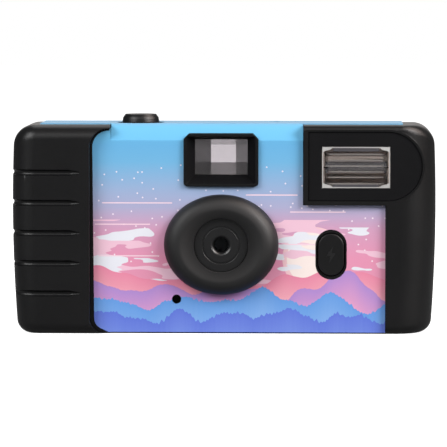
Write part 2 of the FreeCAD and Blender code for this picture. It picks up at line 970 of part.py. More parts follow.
def make_grooves():
    # Each groove runs level along the grip, turns round its left edge and fades there
    radius = size("groove_radius")
    depth = grip_front + size("groove_sink")
    side = -widest - size("groove_rise")
    bend = size("grip_round") + size("groove_rise")
    start = size("groove_inset") - inner_half
    left = side + bend
    tip = size("groove_tip")
    cutters = []
    for index in range(int(cells["groove_count"])):
        z = size("groove_low") + size("groove_pitch") * index
        turn = primitive(
            "Torus", f"groove_turn_{index}", "corner", (left, depth + bend, z),
            Radius1=bend, Radius2=radius)
        turn.Angle3 = 90
        cutters += [
            cylinder(f"groove_{index}", "x", (left, depth, z), radius, start - left),
            primitive(
                "Cone", f"groove_end_{index}", "x", (start, depth, z),
                Radius1=radius, Radius2=tip, Height=size("groove_taper")),
            turn,
            primitive(
                "Cone", f"groove_fade_{index}", "y", (side, depth + bend, z),
                Radius1=radius, Radius2=tip, Height=size("groove_fade")),
        ]
    return fuse("grip_grooves", *cutters)


open_case = cut("open_case", make_front_case(), make_hollow())
fitted_case = fuse("fitted_case", open_case, make_fittings())
keep("front_shell", cut("front_shell", fitted_case, make_openings(), make_grooves()))


# Back shell, closed by four screws
eyepiece_width, eyepiece_rise = size("eyepiece_width"), size("eyepiece_rise")
spigot = size("eyepiece_spigot")
spigot_width, spigot_rise = eyepiece_width - spigot * 2, eyepiece_rise - spigot * 1.5
counter_x, counter_z = -size("counter_x"), size("counter_height")
counter_width, counter_rise = size("counter_width"), size("counter_rise")
counter_margin = size("counter_margin")
slider_x, slider_z = -size("slider_x"), case_height - size("slider_drop")
slider_width, slider_rise = size("slider_width"), size("slider_rise")
slider_travel, slider_stem = size("slider_travel"), size("slider_stem")
back_front = seam + size("seam_gap")


def make_back_shell():
    shell = case_blank("back_case", back_front, back)
    document.recompute()
    blank = shell.Tip
    rear = [
        f"Edge{index}" for index, edge in enumerate(blank.Shape.Edges, start=1)
        if abs(edge.BoundBox.YMin - number(back)) < 0.01 and edge.BoundBox.YLength < 0.01]
    rounded = shell.newObject("PartDesign::Fillet", "back_edge")
    rounded.Base = (blank, rear)
    rounded.Refine = False
    bind(rounded, "Radius", size("back_edge"))

    hollow = body("back_hollow")
    raised(
        hollow, "rear_hollow", seam - over, inner_back, hollow_line(zero))
    tubes = body("back_tubes")
    tube_radius = size("screw_head") + slide_gap + size("tube_wall")
    raised(
        tubes, "screw_tubes", back_front, inner_back + pin_gap,
        *[(x, z, tube_radius) for x, z in boss_places])

    holes = body("back_holes")
    raised(
        holes, "screw_wells", screw_head_front, back + over,
        *[(x, z, size("screw_head") + fit) for x, z in boss_places])
    raised(
        holes, "screw_holes", seam - over, screw_head_front + over,
        *[(x, z, screw_radius + fit) for x, z in boss_places])
    raised(
        holes, "rear_openings", inner_back - over, back + over,
        middle_box(finder_x, finder_z, spigot_width + fit * 2, spigot_rise + fit * 2),
        middle_box(
            counter_x, counter_z, counter_width - counter_margin * 2,
            counter_rise - counter_margin * 2),
        middle_box(
            slider_x, slider_z, slider_stem + slider_travel + slide_gap * 2,
            slider_stem + slide_gap * 2))
    raised(
        holes, "counter_seat", back - size("counter_pane"), back + over,
        middle_box(counter_x, counter_z, counter_width + fit * 2, counter_rise + fit * 2))
    raised(
        holes, "slider_track", back - size("slider_recess"), back + over,
        round_box(
            slider_x - slider_width / 2 - slider_travel / 2 - slide_gap,
            slider_z - slider_rise / 2 - slide_gap,
            slider_x + slider_width / 2 + slider_travel / 2 + slide_gap,
            slider_z + slider_rise / 2 + slide_gap, size("slider_corner")))
    open_shell = cut("open_back", shell, hollow)
    return cut("back_shell", fuse("fitted_back", open_shell, tubes), holes)


def make_printed_cover():
    # One folded sheet: front, slanted band and top
    thickness = size("cover_thickness")
    fold = size("cover_fold")
    top_rear = back - size("back_edge")
    foot = size("cover_foot")
    made = body("printed_sheet")
    fold_line = [
        (art_front, foot), (cover_front, foot), (cover_front, band_foot + fold),
        (band_top - fold, cover_top), (top_rear, cover_top), (top_rear, case_height),
        (band_top, case_height), (art_front, band_foot)]
    across(
        made, "sheet", size("cover_left_inset") - inner_half,
        inner_half - size("cover_right_inset"), fold_line)

    waste = body("sheet_waste")
    gap = size("cover_gap")
    far = widest + over
    high = case_height + over * 2
    patch_foot = brow_foot - art_corner
    left_side = [
        (-far, -over), (grip_right + art_foot_corner, -over),
        (grip_right + art_foot_corner, zero + gap, gap - art_foot_corner),
        (grip_right + gap, art_foot_corner), (grip_right + gap, patch_foot),
        (brow_right + gap, patch_foot), (brow_right + gap, high), (-far, high)]
    right_side = [
        (column_edge - gap, -over), (far, -over), (far, high), (flash_edge - gap, high),
        (flash_edge - gap, flash_foot - gap), (column_edge - gap, flash_foot - gap)]
    raised(waste, "sheet_sides", cover_front - over, band_top, left_side, right_side)
    button_gap = pill(flash_button_x, flash_button_z, size("well_width"), size("well_rise"))
    raised(
        waste, "sheet_holes", cover_front - over, hollow_front, button_gap, finder_line(fit),
        (microphone_x, microphone_z, size("microphone_hole")),
        (lens_x, lens_z, bezel_bore + size("locator_wall") + fit))
    standing(
        waste, "sheet_top_holes", case_height - over, cover_top + over,
        (shutter_x, zero, collar_radius + fit), (lamp_x, lamp_y, lamp_radius + fit))

    # Beside the slanted band the front runs up flat to its rounded corner
    corner = plate("sheet_corner", cover_front, art_front, [
        (grip_right + gap, patch_foot), (brow_right + gap, patch_foot),
        (brow_right + gap, brow_foot - gap),
        (grip_right + art_corner, brow_foot - gap, art_corner - gap)])
    return fuse("printed_cover", cut("cut_sheet", made, waste), corner)


def make_case_screws():
    screws = []
    for index, (x, z) in enumerate(boss_places):
        shank = cylinder(
            f"case_shank_{index}", "y", (x, screw_tip, z), screw_radius, size("screw_length"))
        head = cylinder(
            f"case_head_{index}", "y", (x, screw_head_front, z), size("screw_head"),
            size("screw_head_height"))
        slots = cross_slot(f"case_slot_{index}", x, z, screw_head_back, size("screw_head"))
        screws.append(cut(f"case_screw_{index}", fuse(f"case_pin_{index}", shank, head), *slots))
    return group("case_screws", *screws)


def cross_slot(name, x, z, rear, head):
    # Two crossed slots in a screw's head, which faces the back
    reach, half = head * 0.6, size("screw_slot") / 2
    depth = size("screw_slot") * 1.5
    return [
        box(f"{name}_level", (x - reach, rear - depth, z - half), (x + reach, rear + over, z + half)),
        box(f"{name}_upright", (x - half, rear - depth, z - reach), (x + half, rear + over, z + reach))]


# Lens
bezel_rise, bezel_width = size("bezel_rise"), size("bezel_width")
disc_radius = size("disc_radius")
bezel_bore = disc_radius + fit
bezel_crest = cover_front - size("bezel_proud")
disc_front = bezel_crest + size("disc_sink")
pane_front = inner_front - size("pane_thickness") - pin_gap
holder_front = board_front - size("holder_depth")
neck_front = holder_front - size("neck_length")
barrel_radius, barrel_bore = size("barrel_radius"), size("barrel_bore")
barrel_front = inner_front + fit * 2
barrel_back = barrel_front + size("barrel_length")


def make_lens_bezel():
    # An oval dome with a round bore: a turned dome stretched sideways, then bored
    radius = number(bezel_rise) / 2
    rear, crest = number(cover_front), number(bezel_crest)
    inner = cells["bezel_inner"] * radius
    shoulder = cells["bezel_shoulder"] * radius
    top = cells["bezel_crest"] * radius

    def at(distance, depth):
        return FreeCAD.Vector(distance, depth, 0)

    corners = [at(0, rear), at(radius, rear), at(radius, rear - cells["bezel_lip"])]
    outer = Part.Arc(
        corners[2], at(shoulder, crest + cells["bezel_shoulder_drop"]), at(top, crest))
    dish = Part.Arc(
        at(top, crest), at(inner, crest + cells["bezel_inner_drop"]),
        at(number(bezel_bore) * 0.9, crest + cells["bezel_inner_drop"] * 3))
    inner_corner = at(number(bezel_bore) * 0.9, crest + cells["bezel_inner_drop"] * 3)
    centre = at(0, inner_corner.y)
    edges = [
        Part.LineSegment(corners[0], corners[1]).toShape(),
        Part.LineSegment(corners[1], corners[2]).toShape(),
        outer.toShape(), dish.toShape(),
        Part.LineSegment(inner_corner, centre).toShape(),
        Part.LineSegment(centre, corners[0]).toShape()]
    face = Part.Face(Part.Wire(edges))
    dome = face.revolve(FreeCAD.Vector(), FreeCAD.Vector(0, 1, 0), 360)
    stretch = FreeCAD.Matrix()
    stretch.scale(FreeCAD.Vector(number(bezel_width) / number(bezel_rise), 1, 1))
    oval = document.addObject("Part::Feature", "oval_dome")
    oval.Shape = dome.transformGeometry(stretch)
    bind(oval, "Placement.Base.x", lens_x)
    bind(oval, "Placement.Base.z", lens_z)
    locator = cylinder(
        "bezel_locator", "y", (lens_x, cover_front, lens_z), bezel_bore + size("locator_wall"),
        size("cover_thickness"))
    bore = cylinder(
        "bezel_bore", "y", (lens_x, bezel_crest - over, lens_z), bezel_bore,
        art_front - bezel_crest + over * 2)
    return cut("lens_bezel", fuse("domed_bezel", oval, locator), bore)


def make_lens_disc():
    ring, ring_width = size("disc_ring"), size("disc_ring_width")
    ring_floor = disc_front + size("disc_ring_depth")
    pupil, funnel = size("pupil_radius"), size("funnel_radius")
    spigot_radius, pane_radius = size("spigot_radius"), size("pane_radius") + pin_gap
    pane_seat = pane_front - pin_gap
    return turned_across("lens_disc", [
        (pupil, disc_front + size("funnel_depth"), size("funnel_curve")), (funnel, disc_front),
        (ring - ring_width, disc_front), (ring - ring_width, ring_floor), (ring, ring_floor),
        (ring, disc_front), (disc_radius, disc_front), (disc_radius, art_front),
        (spigot_radius, art_front), (spigot_radius, inner_front), (pane_radius, inner_front),
        (pane_radius, pane_seat), (pupil, pane_seat)], lens_x, lens_z)


def make_lens_element(name, front):
    # A round glass, thicker in the middle
    radius, bulge = barrel_bore - pin_gap, size("lens_bulge")
    middle_front, middle_back = front, front + size("lens_thickness") + bulge * 2
    curve = (radius * radius + bulge * bulge) / 2 / bulge
    return turned_across(name, [
        (zero, middle_front, curve), (radius, front + bulge), (radius, middle_back - bulge, curve),
        (zero, middle_back)], lens_x, lens_z)


def make_lens_holder():
    width = size("holder_width")
    chamber = width - size("chamber_wall") * 2
    shelf = holder_front + size("filter_seat")
    half, inner = width / 2, chamber / 2
    blank = box(
        "holder_block", (lens_x - half, holder_front, lens_z - half),
        (lens_x + half, board_front, lens_z + half))
    neck = cylinder(
        "holder_neck", "y", (lens_x, neck_front, lens_z), size("neck_radius"),
        size("neck_length") + pin_gap)
    hollow = box(
        "holder_chamber", (lens_x - inner, shelf, lens_z - inner),
        (lens_x + inner, board_front + over, lens_z + inner))
    bore = cylinder(
        "holder_bore", "y", (lens_x, neck_front - over, lens_z), barrel_radius + pin_gap,
        barrel_back + pin_gap - neck_front + over)
    light = cylinder(
        "holder_light", "y", (lens_x, neck_front, lens_z), size("filter_width") / 2 - fit * 3,
        shelf - neck_front + over)
    return cut("lens_holder", fuse("holder_blank", blank, neck), hollow, bore, light)


def flat_block(name, x, z, width, rise, front, rear):
    return box(name, (x - width / 2, front, z - rise / 2), (x + width / 2, rear, z + rise / 2))


# Main board and what it carries
def make_main_board():
    left, right = size("board_left_inset") - inner_half, size("board_right")
    foot = size("board_foot")
    ear_right, ear_top = -size("ear_right"), case_height - size("ear_drop")
    outline = [
        (left, foot), (right, foot), (right, board_top), (ear_right, board_top),
        (ear_right, ear_top),
        (left, ear_top)]
    holes = [(x, z, screw_radius + fit) for x, z in post_places]
    return plate("main_board", board_front, board_back, outline, *holes)


def make_board_screws():
    screws = []
    for index, (x, z) in enumerate(post_places):
        length = size("board_screw_bite") - slide_gap + size("board_thickness")
        shank = cylinder(
            f"board_shank_{index}", "y", (x, board_back - length, z), screw_radius, length)
        head = cylinder(
            f"board_head_{index}", "y", (x, board_back, z), size("board_screw_head"),
            size("board_screw_height"))
        slots = cross_slot(
            f"board_slot_{index}", x, z, board_back + size("board_screw_height"),
            size("board_screw_head"))
        screws.append(cut(f"board_screw_{index}", fuse(f"board_pin_{index}", shank, head), *slots))
    return group("board_screws", *screws)


def make_display_holder():
    wide, tall = counter_width + counter_margin * 2, counter_rise + counter_margin * 2
    block = flat_block(
        "display_block", counter_x, counter_z, wide, tall, board_back, counter_glass_front)
    room = flat_block(
        "display_room", counter_x, counter_z, counter_width - counter_margin,
        counter_rise - counter_margin, board_back + counter_margin, counter_glass_front + over)
    return cut("display_holder", block, room)


counter_glass_front = inner_back - size("board_gap") - size("counter_glass")


# Viewfinder
def make_viewfinder_bezel():
    made = plate("viewfinder_bezel", finder_front, finder_back - pin_gap, finder_line(zero))
    rim = size("finder_rim")
    mouth = middle_box(
        finder_x, finder_z - size("finder_drop"), size("finder_width") - rim * 2,
        size("finder_rise") - rim * 2)
    throat = middle_box(finder_x, finder_z, sight_width, sight_rise)
    tapered(made, "Subtractive", "finder_funnel", finder_front, mouth, finder_back - pin_gap, throat)
    return made


tunnel_front = finder_back + size("lens_plate") + pin_gap
eye_front = inner_back - size("board_gap") - size("eye_gap")


def make_viewfinder_tunnel():
    made = body("viewfinder_tunnel")
    eye_width, eye_rise = size("eye_width"), size("eye_rise")
    tapered(
        made, "Additive", "tunnel_outside", tunnel_front,
        middle_box(finder_x, finder_z, tunnel_width, tunnel_rise), eye_front,
        middle_box(finder_x, finder_z, eye_width + tunnel_wall * 2, eye_rise + tunnel_wall * 2))
    tapered(
        made, "Subtractive", "tunnel_inside", tunnel_front,
        middle_box(finder_x, finder_z, sight_width, sight_rise), eye_front,
        middle_box(finder_x, finder_z, eye_width, eye_rise))
    return made


def make_eyepiece_frame():
    rear = back + size("eyepiece_proud")
    lens_seat = eye_front + pin_gap
    made = body("eyepiece_frame")
    raised(
        made, "eyepiece_spigot", lens_seat, back + pin_gap,
        middle_box(finder_x, finder_z, spigot_width, spigot_rise))
    raised(
        made, "eyepiece_flange", back, rear,
        round_box(
            finder_x - eyepiece_width / 2, finder_z - eyepiece_rise / 2,
            finder_x + eyepiece_width / 2, finder_z + eyepiece_rise / 2, size("eyepiece_corner")))
    pane = size("lens_plate") + pin_gap
    opening(
        made, "eye_lens_seat", lens_seat, lens_seat + pane,
        middle_box(finder_x, finder_z, eye_lens_width + fit * 2, eye_lens_rise + fit * 2))
    flare = size("eyepiece_flare")
    tapered(
        made, "Subtractive", "eye_funnel", lens_seat + pane,
        middle_box(finder_x, finder_z, size("eye_width"), size("eye_rise")), rear,
        middle_box(finder_x, finder_z, size("eye_width") + flare * 2, size("eye_rise") + flare * 2))
    return made


eye_lens_width = size("eye_width") + size("eye_lens_lap")
eye_lens_rise = size("eye_rise") + size("eye_lens_lap")


# Flash
window_front = flash_front + size("window_sink")
window_back = window_front + size("window_thickness")
reflector_front = window_back + pin_gap
reflector_back = reflector_front + size("reflector_depth")
flash_board_front = reflector_back + pin_gap
flash_board_back = flash_board_front + size("board_thickness")
tube_y = reflector_front + size("reflector_floor")
tube_radius, tube_reach = size("tube_radius"), size("tube_reach")


def make_flash_window():
    # A clear plate with level ribs behind its smooth face
    rib, count = size("window_rib"), int(cells["rib_count"])
    made = plate(
        "flash_window", window_front, window_back,
        middle_box(window_x, window_z, window_width, window_rise))
    pitch = window_rise / count
    grooves = []
    for index in range(count):
        low = window_z - window_rise / 2 + pitch * index
        grooves.append([
            (window_back, low + fit), (window_back, low + pitch - fit),
            (window_back - rib, low + pitch / 2)])
    through_x(
        made, "window_ribs", window_x - window_width / 2 + rib * 2,
        window_x + window_width / 2 - rib * 2, *grooves)
    return made


def make_flash_reflector():
    reflector_wall = size("reflector_wall")
    back_share = size("reflector_back")
    made = plate(
        "reflector_shell", reflector_front, reflector_back,
        middle_box(window_x, window_z, window_width, window_rise))
    tapered(
        made, "Subtractive", "reflector_bowl", reflector_front,
        middle_box(
            window_x, window_z, window_width - reflector_wall * 2,
            window_rise - reflector_wall * 2),
        reflector_back - reflector_wall,
        middle_box(
            window_x, window_z, window_width - back_share, window_rise - back_share * 2))
    tube_hole = cylinder(
        "reflector_tube_hole", "x", (window_x - window_width, tube_y, window_z),
        tube_radius + slide_gap, window_width * 2)
    return cut("flash_reflector", made, tube_hole)


def make_flash_electrodes():
    length, sleeve = size("electrode_length"), size("electrode_wall")
    caps = []
    for side, start in (("left", window_x - tube_reach), ("right", window_x + tube_reach - length)):
        caps.append(cut(
            f"electrode_{side}",
            cylinder(
                f"electrode_{side}_cap", "x", (start, tube_y, window_z), tube_radius + sleeve,
                length),
            cylinder(
                f"electrode_{side}_bore", "x", (start - over, tube_y, window_z), tube_radius,
                length + over * 2)))
    return group("flash_electrodes", *caps)


def make_flash_panel():
    made = plate("flash_panel", flash_front + size("panel_sink"), panel_floor, panel_line(zero))
    opening(
        made, "panel_window", flash_front, panel_floor,
        middle_box(window_x, window_z, window_width + fit, window_rise + fit))
    return made


# Flash button with its switch
flash_button_front = cover_front - size("flash_button_proud")
flash_flange_front = inner_front + fit
flash_switch_front = flash_board_front - size("switch_length")
flash_flange_back = flash_switch_front - size("plunger_proud")


def make_flash_button():
    made = body("flash_button")
    lap = size("well_lap")
    raised(
        made, "flash_cap", flash_button_front, flash_flange_front + pin_gap,
        pill(flash_button_x, flash_button_z, flash_button_width, flash_button_rise))
    raised(
        made, "flash_flange", flash_flange_front, flash_flange_back,
        pill(
            flash_button_x, flash_button_z, flash_button_width + lap * 2,
            flash_button_rise + lap * 2))
    return made


def make_switch(name, turn, start, bore_start, bore_depth):
    # A square switch block with a round bore for its plunger
    half = size("switch_width") / 2
    x, y, z = start
    length = size("switch_length")
    low, high = {
        "y": ((x - half, y, z - half), (x + half, y + length, z + half)),
        "z": ((x - half, y - half, z), (x + half, y + half, z + length)),
    }[turn]
    bore = cylinder(
        f"{name}_bore", turn, bore_start, size("plunger_radius") + pin_gap, bore_depth)
    return cut(name, box(f"{name}_block", low, high), bore)


# Shutter button, its spring and its switch
button_top = cover_top + size("button_rise")
stem_foot = flange_foot - size("stem_length")
plunger_foot = stem_foot - pin_gap - size("plunger_proud") - size("plunger_depth")
switch_top = stem_foot - pin_gap - size("plunger_proud")
switch_foot = switch_top - size("switch_length")
bore_room = size("shutter_travel") + fit


def make_shutter_button():
    dish, edge, flare = size("button_dish"), size("button_edge"), size("button_flare")
    stem = size("stem_radius")
    return turned_up("shutter_button", [
        (zero, stem_foot), (stem, stem_foot), (stem, flange_foot), (flange_radius, flange_foot),
        (flange_radius, flange_top), (button_radius, flange_top), (button_radius, cover_top),
        (button_radius - flare, button_top - edge), (button_radius - edge, button_top),
        (button_radius - edge * 2, button_top), (zero, button_top - dish)], shutter_x, zero)


def coil_spring(x, y, low, length):
    # One unbroken tube: flat ends are not ground, and each quarter turn is two tangent arcs
    radius, wire = cells["spring_radius"], cells["spring_wire"]
    quarters = int(cells["spring_turns"]) * 4
    climb = (length - wire * 2) / quarters
    rate = climb / (math.pi / 2)
    points, heads = [], []
    for index in range(quarters + 1):
        angle = index * math.pi / 2
        points.append(FreeCAD.Vector(
            x + radius * math.cos(angle), y + radius * math.sin(angle), low + wire + climb * index))
        heads.append(FreeCAD.Vector(
            -radius * math.sin(angle), radius * math.cos(angle), rate).normalize())
    edges = []
    for index in range(quarters):
        edges += tangent_arcs(points[index], heads[index], points[index + 1], heads[index + 1])
    path = Part.Wire(edges)
    section = Part.Wire([Part.Circle(points[0], heads[0], wire).toShape()])
    tube = path.makePipeShell([section], True, False)
    least = climb * 4 - wire * 2
    print(f"shutter spring: least gap between turns {least:.2f} mm")
    return tube


def tangent_arcs(start, leave, stop, arrive):
    # Two arcs that meet smoothly and follow both directions
    span = stop - start
    both = leave + arrive
    bend = 2 * (1 - leave.dot(arrive))
    along = span.dot(both)
    reach = (math.sqrt(along * along + bend * span.dot(span)) - along) / bend
    first, second = start + leave * reach, stop - arrive * reach
    meet = (first + second) * 0.5
    return [tangent_arc(start, first, meet), tangent_arc(meet, second, stop)]


def tangent_arc(start, corner, stop):
    weight = (stop - start).Length / 2 / (corner - start).Length
    middle = (start + corner * (2 * weight) + stop) * (1 / (2 + 2 * weight))
    return Part.Arc(start, middle, stop).toShape()


def make_shutter_spring():
    spring = document.addObject("Part::Feature", "shutter_spring")
    length = number(flange_foot - switch_top)
    spring.Shape = coil_spring(number(shutter_x), 0, number(switch_top), length)
    return spring


def make_shutter_collar():
    inner = button_radius + size("button_flare") + fit
    return cut(
        "shutter_collar",
        cylinder(
            "collar_ring", "z", (shutter_x, zero, collar_foot), collar_radius,
            collar_top - collar_foot),
        cylinder(
            "collar_bore", "z", (shutter_x, zero, collar_foot - over), inner,
            collar_top - collar_foot + over * 2))


# Cell in the grip
contact_thickness = size("contact_thickness")
cell_foot = floor + size("cradle_base") + contact_thickness + fit
cell_top = band_ceiling - size("cell_headroom")
cell_length = cell_top - cell_foot


def make_cell():
    can = cylinder(
        "cell_can", "z", (cell_x, cell_y, cell_foot), cell_radius, cell_length - size("cell_tip"))
    tip = cylinder(
        "cell_tip", "z", (cell_x, cell_y, cell_foot + size("cell_tip")), size("cell_button"),
        cell_length - size("cell_tip"))
    return fuse("cell", can, tip)


def make_cell_contacts():
    half, reach = size("contact_width") / 2, size("contact_depth") / 2
    plates = []
    for name, low in (("foot", cell_foot - contact_thickness), ("top", cell_top)):
        plates.append(box(
            f"contact_{name}", (cell_x - half, cell_y - reach, low),
            (cell_x + half, cell_y + reach, low + contact_thickness)))
    return group("cell_contacts", *plates)


def make_cell_cradle():
    # A block behind the cell, with the corners of the hollow and a trough for the cell
    right = cell_x + cell_radius + size("cradle_wall")
    high = cell_top + contact_thickness + size("cradle_base")
    front, rear = cell_y - size("cradle_front"), cell_y + size("cradle_back")
    limits = box("cradle_limits", (-widest, front - over, zero), (right, rear + over, high))
    filling = plate("cradle_filling", front, rear, hollow_line(pin_gap))
    block = common_of("cradle_block", filling, limits)
    trough = cylinder(
        "cradle_trough", "z", (cell_x, cell_y, cell_foot - contact_thickness),
        cell_radius + fit * 1.5, cell_length + contact_thickness * 2)
    return cut("cell_cradle", block, trough)


# Power slider on the back
slider_front = back - size("slider_recess") + fit
slider_rear = back + size("slider_proud")
switch_rear = board_back + size("power_switch_depth")
lever_back = switch_rear + size("lever_proud")
slider_rest_x = slider_x - slider_travel / 2


def make_power_slider():
    made = body("power_slider")
    raised(
        made, "slider_knob", slider_front, slider_rear,
        round_box(
            slider_rest_x - slider_width / 2, slider_z - slider_rise / 2,
            slider_rest_x + slider_width / 2, slider_z + slider_rise / 2,
            size("slider_corner") - slide_gap))
    raised(
        made, "slider_stem", switch_rear + fit, slider_front + pin_gap,
        middle_box(slider_rest_x, slider_z, slider_stem, slider_stem))
    hole = size("lever_width") + fit * 2
    opening(
        made, "slider_fork", switch_rear, lever_back + fit,
        middle_box(slider_rest_x, slider_z, hole, hole))
    rib = size("slider_rib")
    ribs = [
        middle_box(
            slider_rest_x + rib * step, slider_z, rib, slider_rise - rib * 4)
        for step in (-6, -3, 0, 3, 6)]
    opening(made, "slider_grip", slider_rear - rib, slider_rear, *ribs)
    return made


def make_power_switch():
    track = flat_block(
        "power_switch_track", slider_x, slider_z, slider_travel + size("lever_width") + slide_gap * 2,
        size("lever_width") + slide_gap, switch_rear - size("lever_root") - fit, switch_rear + over)
    block = flat_block(
        "power_switch_block", slider_x, slider_z, size("power_switch_width"),
        size("power_switch_rise"), board_back, switch_rear)
    return cut("power_switch", block, track)


# Port door and what lies behind it
port_board_front = size("port_board_depth")
port_y = port_board_front - size("port_thickness") / 2 - pin_gap
port_mouth = inner_half - size("port_clear")


def make_port_door():
    # The leaf follows the side of the case, and is round about its pin
    blank = case_blank("door_blank", door_front - over, door_rear + over)
    radius = door_thickness
    left = pin_x - radius
    outline = [
        (pin_x, door_front, radius * 1.0), (pin_x + radius, pin_y), (far_side, pin_y),
        (far_side, door_rear), (pin_x, door_rear), (pin_x, pin_y + radius, radius),
        (left, pin_y, radius)]
    leaf = body("door_leaf")
    standing(leaf, "door_sweep", door_foot, door_top, outline)
    pin_bore = cylinder(
        "door_bore", "z", (pin_x, pin_y, door_foot - over), size("pin_radius") + pin_gap,
        door_length + over * 2)
    notch = cylinder(
        "door_nail_notch", "z",
        (widest + size("door_notch") - size("door_notch_depth"), door_rear,
         door_middle - size("notch_length") / 2),
        size("door_notch"), size("notch_length"))
    return cut("port_door", common_of("door_shape", blank, leaf), pin_bore, notch)


far_side = widest + over


def make_charging_port():
    width, thickness, length = size("port_width"), size("port_thickness"), size("port_length")
    metal, tongue = size("port_metal"), size("tongue")
    z = size("port_height")
    start = port_mouth - length
    half_width, half_thick = width / 2, thickness / 2
    made = body("charging_port_shell")
    across(made, "port_case", start, port_mouth, port_ring(port_y, z, half_thick, half_width, zero))
    drawn = sketch(
        made, "YZ_Plane", port_mouth, "port_mouth_line",
        port_ring(port_y, z, half_thick - metal, half_width - metal, zero))
    feature(made, "Pocket", drawn, "port_mouth", length - metal * 2)
    tab = box(
        "port_tongue", (start + metal, port_y - tongue / 2, z - half_width * 0.7),
        (port_mouth - metal * 3, port_y + tongue / 2, z + half_width * 0.7))
    return fuse("charging_port", made, tab)


def port_ring(y, z, half_thick, half_width, gap):
    # The port stands on edge: round ends above and below
    radius = half_thick - gap
    straight = half_width - radius
    return [
        (y + radius, z - straight), (y + radius, z + straight, radius),
        (y, z + straight + radius, radius), (y - radius, z + straight),
        (y - radius, z - straight, radius), (y, z - straight - radius, radius)]


def make_card_socket():
    width, thickness, length = size("socket_width"), size("socket_thickness"), size("socket_length")
    z, mouth = size("socket_height"), port_mouth
    block = box(
        "socket_block", (mouth - length, port_board_front - thickness, z - width / 2),
        (mouth, port_board_front, z + width / 2))
    slot_width = size("card_width") / 2 + fit
    slot = box(
        "socket_slot",
        (mouth - size("card_length") + size("card_proud") - fit, card_front - fit, z - slot_width),
        (mouth + over, card_front + size("card_thickness") + fit, z + slot_width))
    return cut("card_socket", block, slot)


card_front = port_board_front - size("socket_thickness") / 2 - size("card_thickness") / 2


def make_memory_card():
    z = size("socket_height")
    half = size("card_width") / 2
    right = port_mouth + size("card_proud")
    return box(
        "memory_card", (right - size("card_length"), card_front, z - half),
        (right, card_front + size("card_thickness"), z + half))


keep("back_shell", make_back_shell())
keep("printed_cover", make_printed_cover())
keep("case_screws", make_case_screws())
keep("lens_bezel", make_lens_bezel())
keep("lens_disc", make_lens_disc())
keep("lens_window", cylinder(
    "lens_window", "y", (lens_x, pane_front, lens_z), size("pane_radius"), size("pane_thickness")))
keep("lens_barrel", cut(
    "lens_barrel",
    cylinder("barrel_tube", "y", (lens_x, barrel_front, lens_z), barrel_radius, size("barrel_length")),
    cylinder(
        "barrel_bore", "y", (lens_x, barrel_front - over, lens_z), barrel_bore,
        size("barrel_length") + over * 2)))
keep("front_lens_element", make_lens_element("front_lens_element", barrel_front + size("element_inset")))
keep("rear_lens_element", make_lens_element(
    "rear_lens_element",
    barrel_back - size("element_inset") - size("lens_thickness") - size("lens_bulge") * 2))
keep("lens_holder", make_lens_holder())
filter_width = size("filter_width")
filter_front = holder_front + size("filter_seat")
keep("infrared_filter", flat_block(
    "infrared_filter", lens_x, lens_z, filter_width, filter_width, filter_front,
    filter_front + size("filter_thickness")))
keep("image_sensor", flat_block(
    "image_sensor", lens_x, lens_z, size("sensor_width"), size("sensor_rise"),
    board_front - size("sensor_thickness"), board_front))
keep("main_board", make_main_board())
keep("board_screws", make_board_screws())
keep("image_processor", flat_block(
    "image_processor", -size("processor_x"), size("processor_height"), size("processor_width"),
    size("processor_width"), board_front - size("chip_thickness"), board_front))
keep("memory_chip", flat_block(
    "memory_chip", size("memory_x"), size("memory_height"), size("memory_width"),
    size("memory_rise"), board_front - size("chip_thickness"), board_front))
keep("microphone", cylinder(
    "microphone", "y", (microphone_x, inner_front, microphone_z), size("microphone_radius"),
    size("microphone_length")))
keep("buzzer", cylinder(
    "buzzer", "y", (-size("buzzer_x"), board_back, size("buzzer_height")), size("buzzer_radius"),
    size("buzzer_length")))
keep("display_holder", make_display_holder())
keep("counter_display", flat_block(
    "counter_display", counter_x, counter_z, counter_width, counter_rise, counter_glass_front,
    counter_glass_front + size("counter_glass")))
keep("counter_window", flat_block(
    "counter_window", counter_x, counter_z, counter_width, counter_rise,
    back - size("counter_pane"), back - fit))
keep("viewfinder_bezel", make_viewfinder_bezel())
keep("viewfinder_lens", flat_block(
    "viewfinder_lens", finder_x, finder_z, sight_width + tunnel_wall, sight_rise + tunnel_wall,
    finder_back, finder_back + size("lens_plate")))
keep("viewfinder_tunnel", make_viewfinder_tunnel())
keep("eyepiece_lens", flat_block(
    "eyepiece_lens", finder_x, finder_z, eye_lens_width, eye_lens_rise, eye_front + pin_gap,
    eye_front + pin_gap + size("lens_plate")))
keep("eyepiece_frame", make_eyepiece_frame())
keep("flash_panel", make_flash_panel())
keep("flash_window", make_flash_window())
keep("flash_reflector", make_flash_reflector())
keep("flash_tube", cylinder(
    "flash_tube", "x", (window_x - tube_reach, tube_y, window_z), tube_radius, tube_reach * 2))
keep("flash_electrodes", make_flash_electrodes())
capacitor_x = inner_half - size("capacitor_inset")
flash_board_left = size("flash_board_left")
flash_board_right = capacitor_x - size("capacitor_radius") - size("board_to_capacitor")
keep("flash_board", plate(
    "flash_board", flash_board_front, flash_board_back,
    box_line(
        flash_board_left, floor + pin_gap, flash_board_right,
        case_height - size("flash_board_drop"))))
keep("flash_capacitor", cylinder(
    "flash_capacitor", "z", (capacitor_x, -size("capacitor_y"), floor + size("capacitor_lift")),
    size("capacitor_radius"), size("capacitor_length")))
transformer_size, transformer_foot = size("transformer_size"), size("transformer_foot")
transformer_x = (flash_board_left + flash_board_right) / 2
keep("flash_transformer", box(
    "flash_transformer",
    (transformer_x - transformer_size / 2, flash_board_back, transformer_foot),
    (transformer_x + transformer_size / 2, flash_board_back + transformer_size,
     transformer_foot + transformer_size)))
keep("flash_button", make_flash_button())
flash_plunger_back = flash_switch_front + size("plunger_depth")
keep("flash_plunger", cylinder(
    "flash_plunger", "y", (flash_button_x, flash_flange_back, flash_button_z),
    size("plunger_radius"), flash_plunger_back - flash_flange_back))
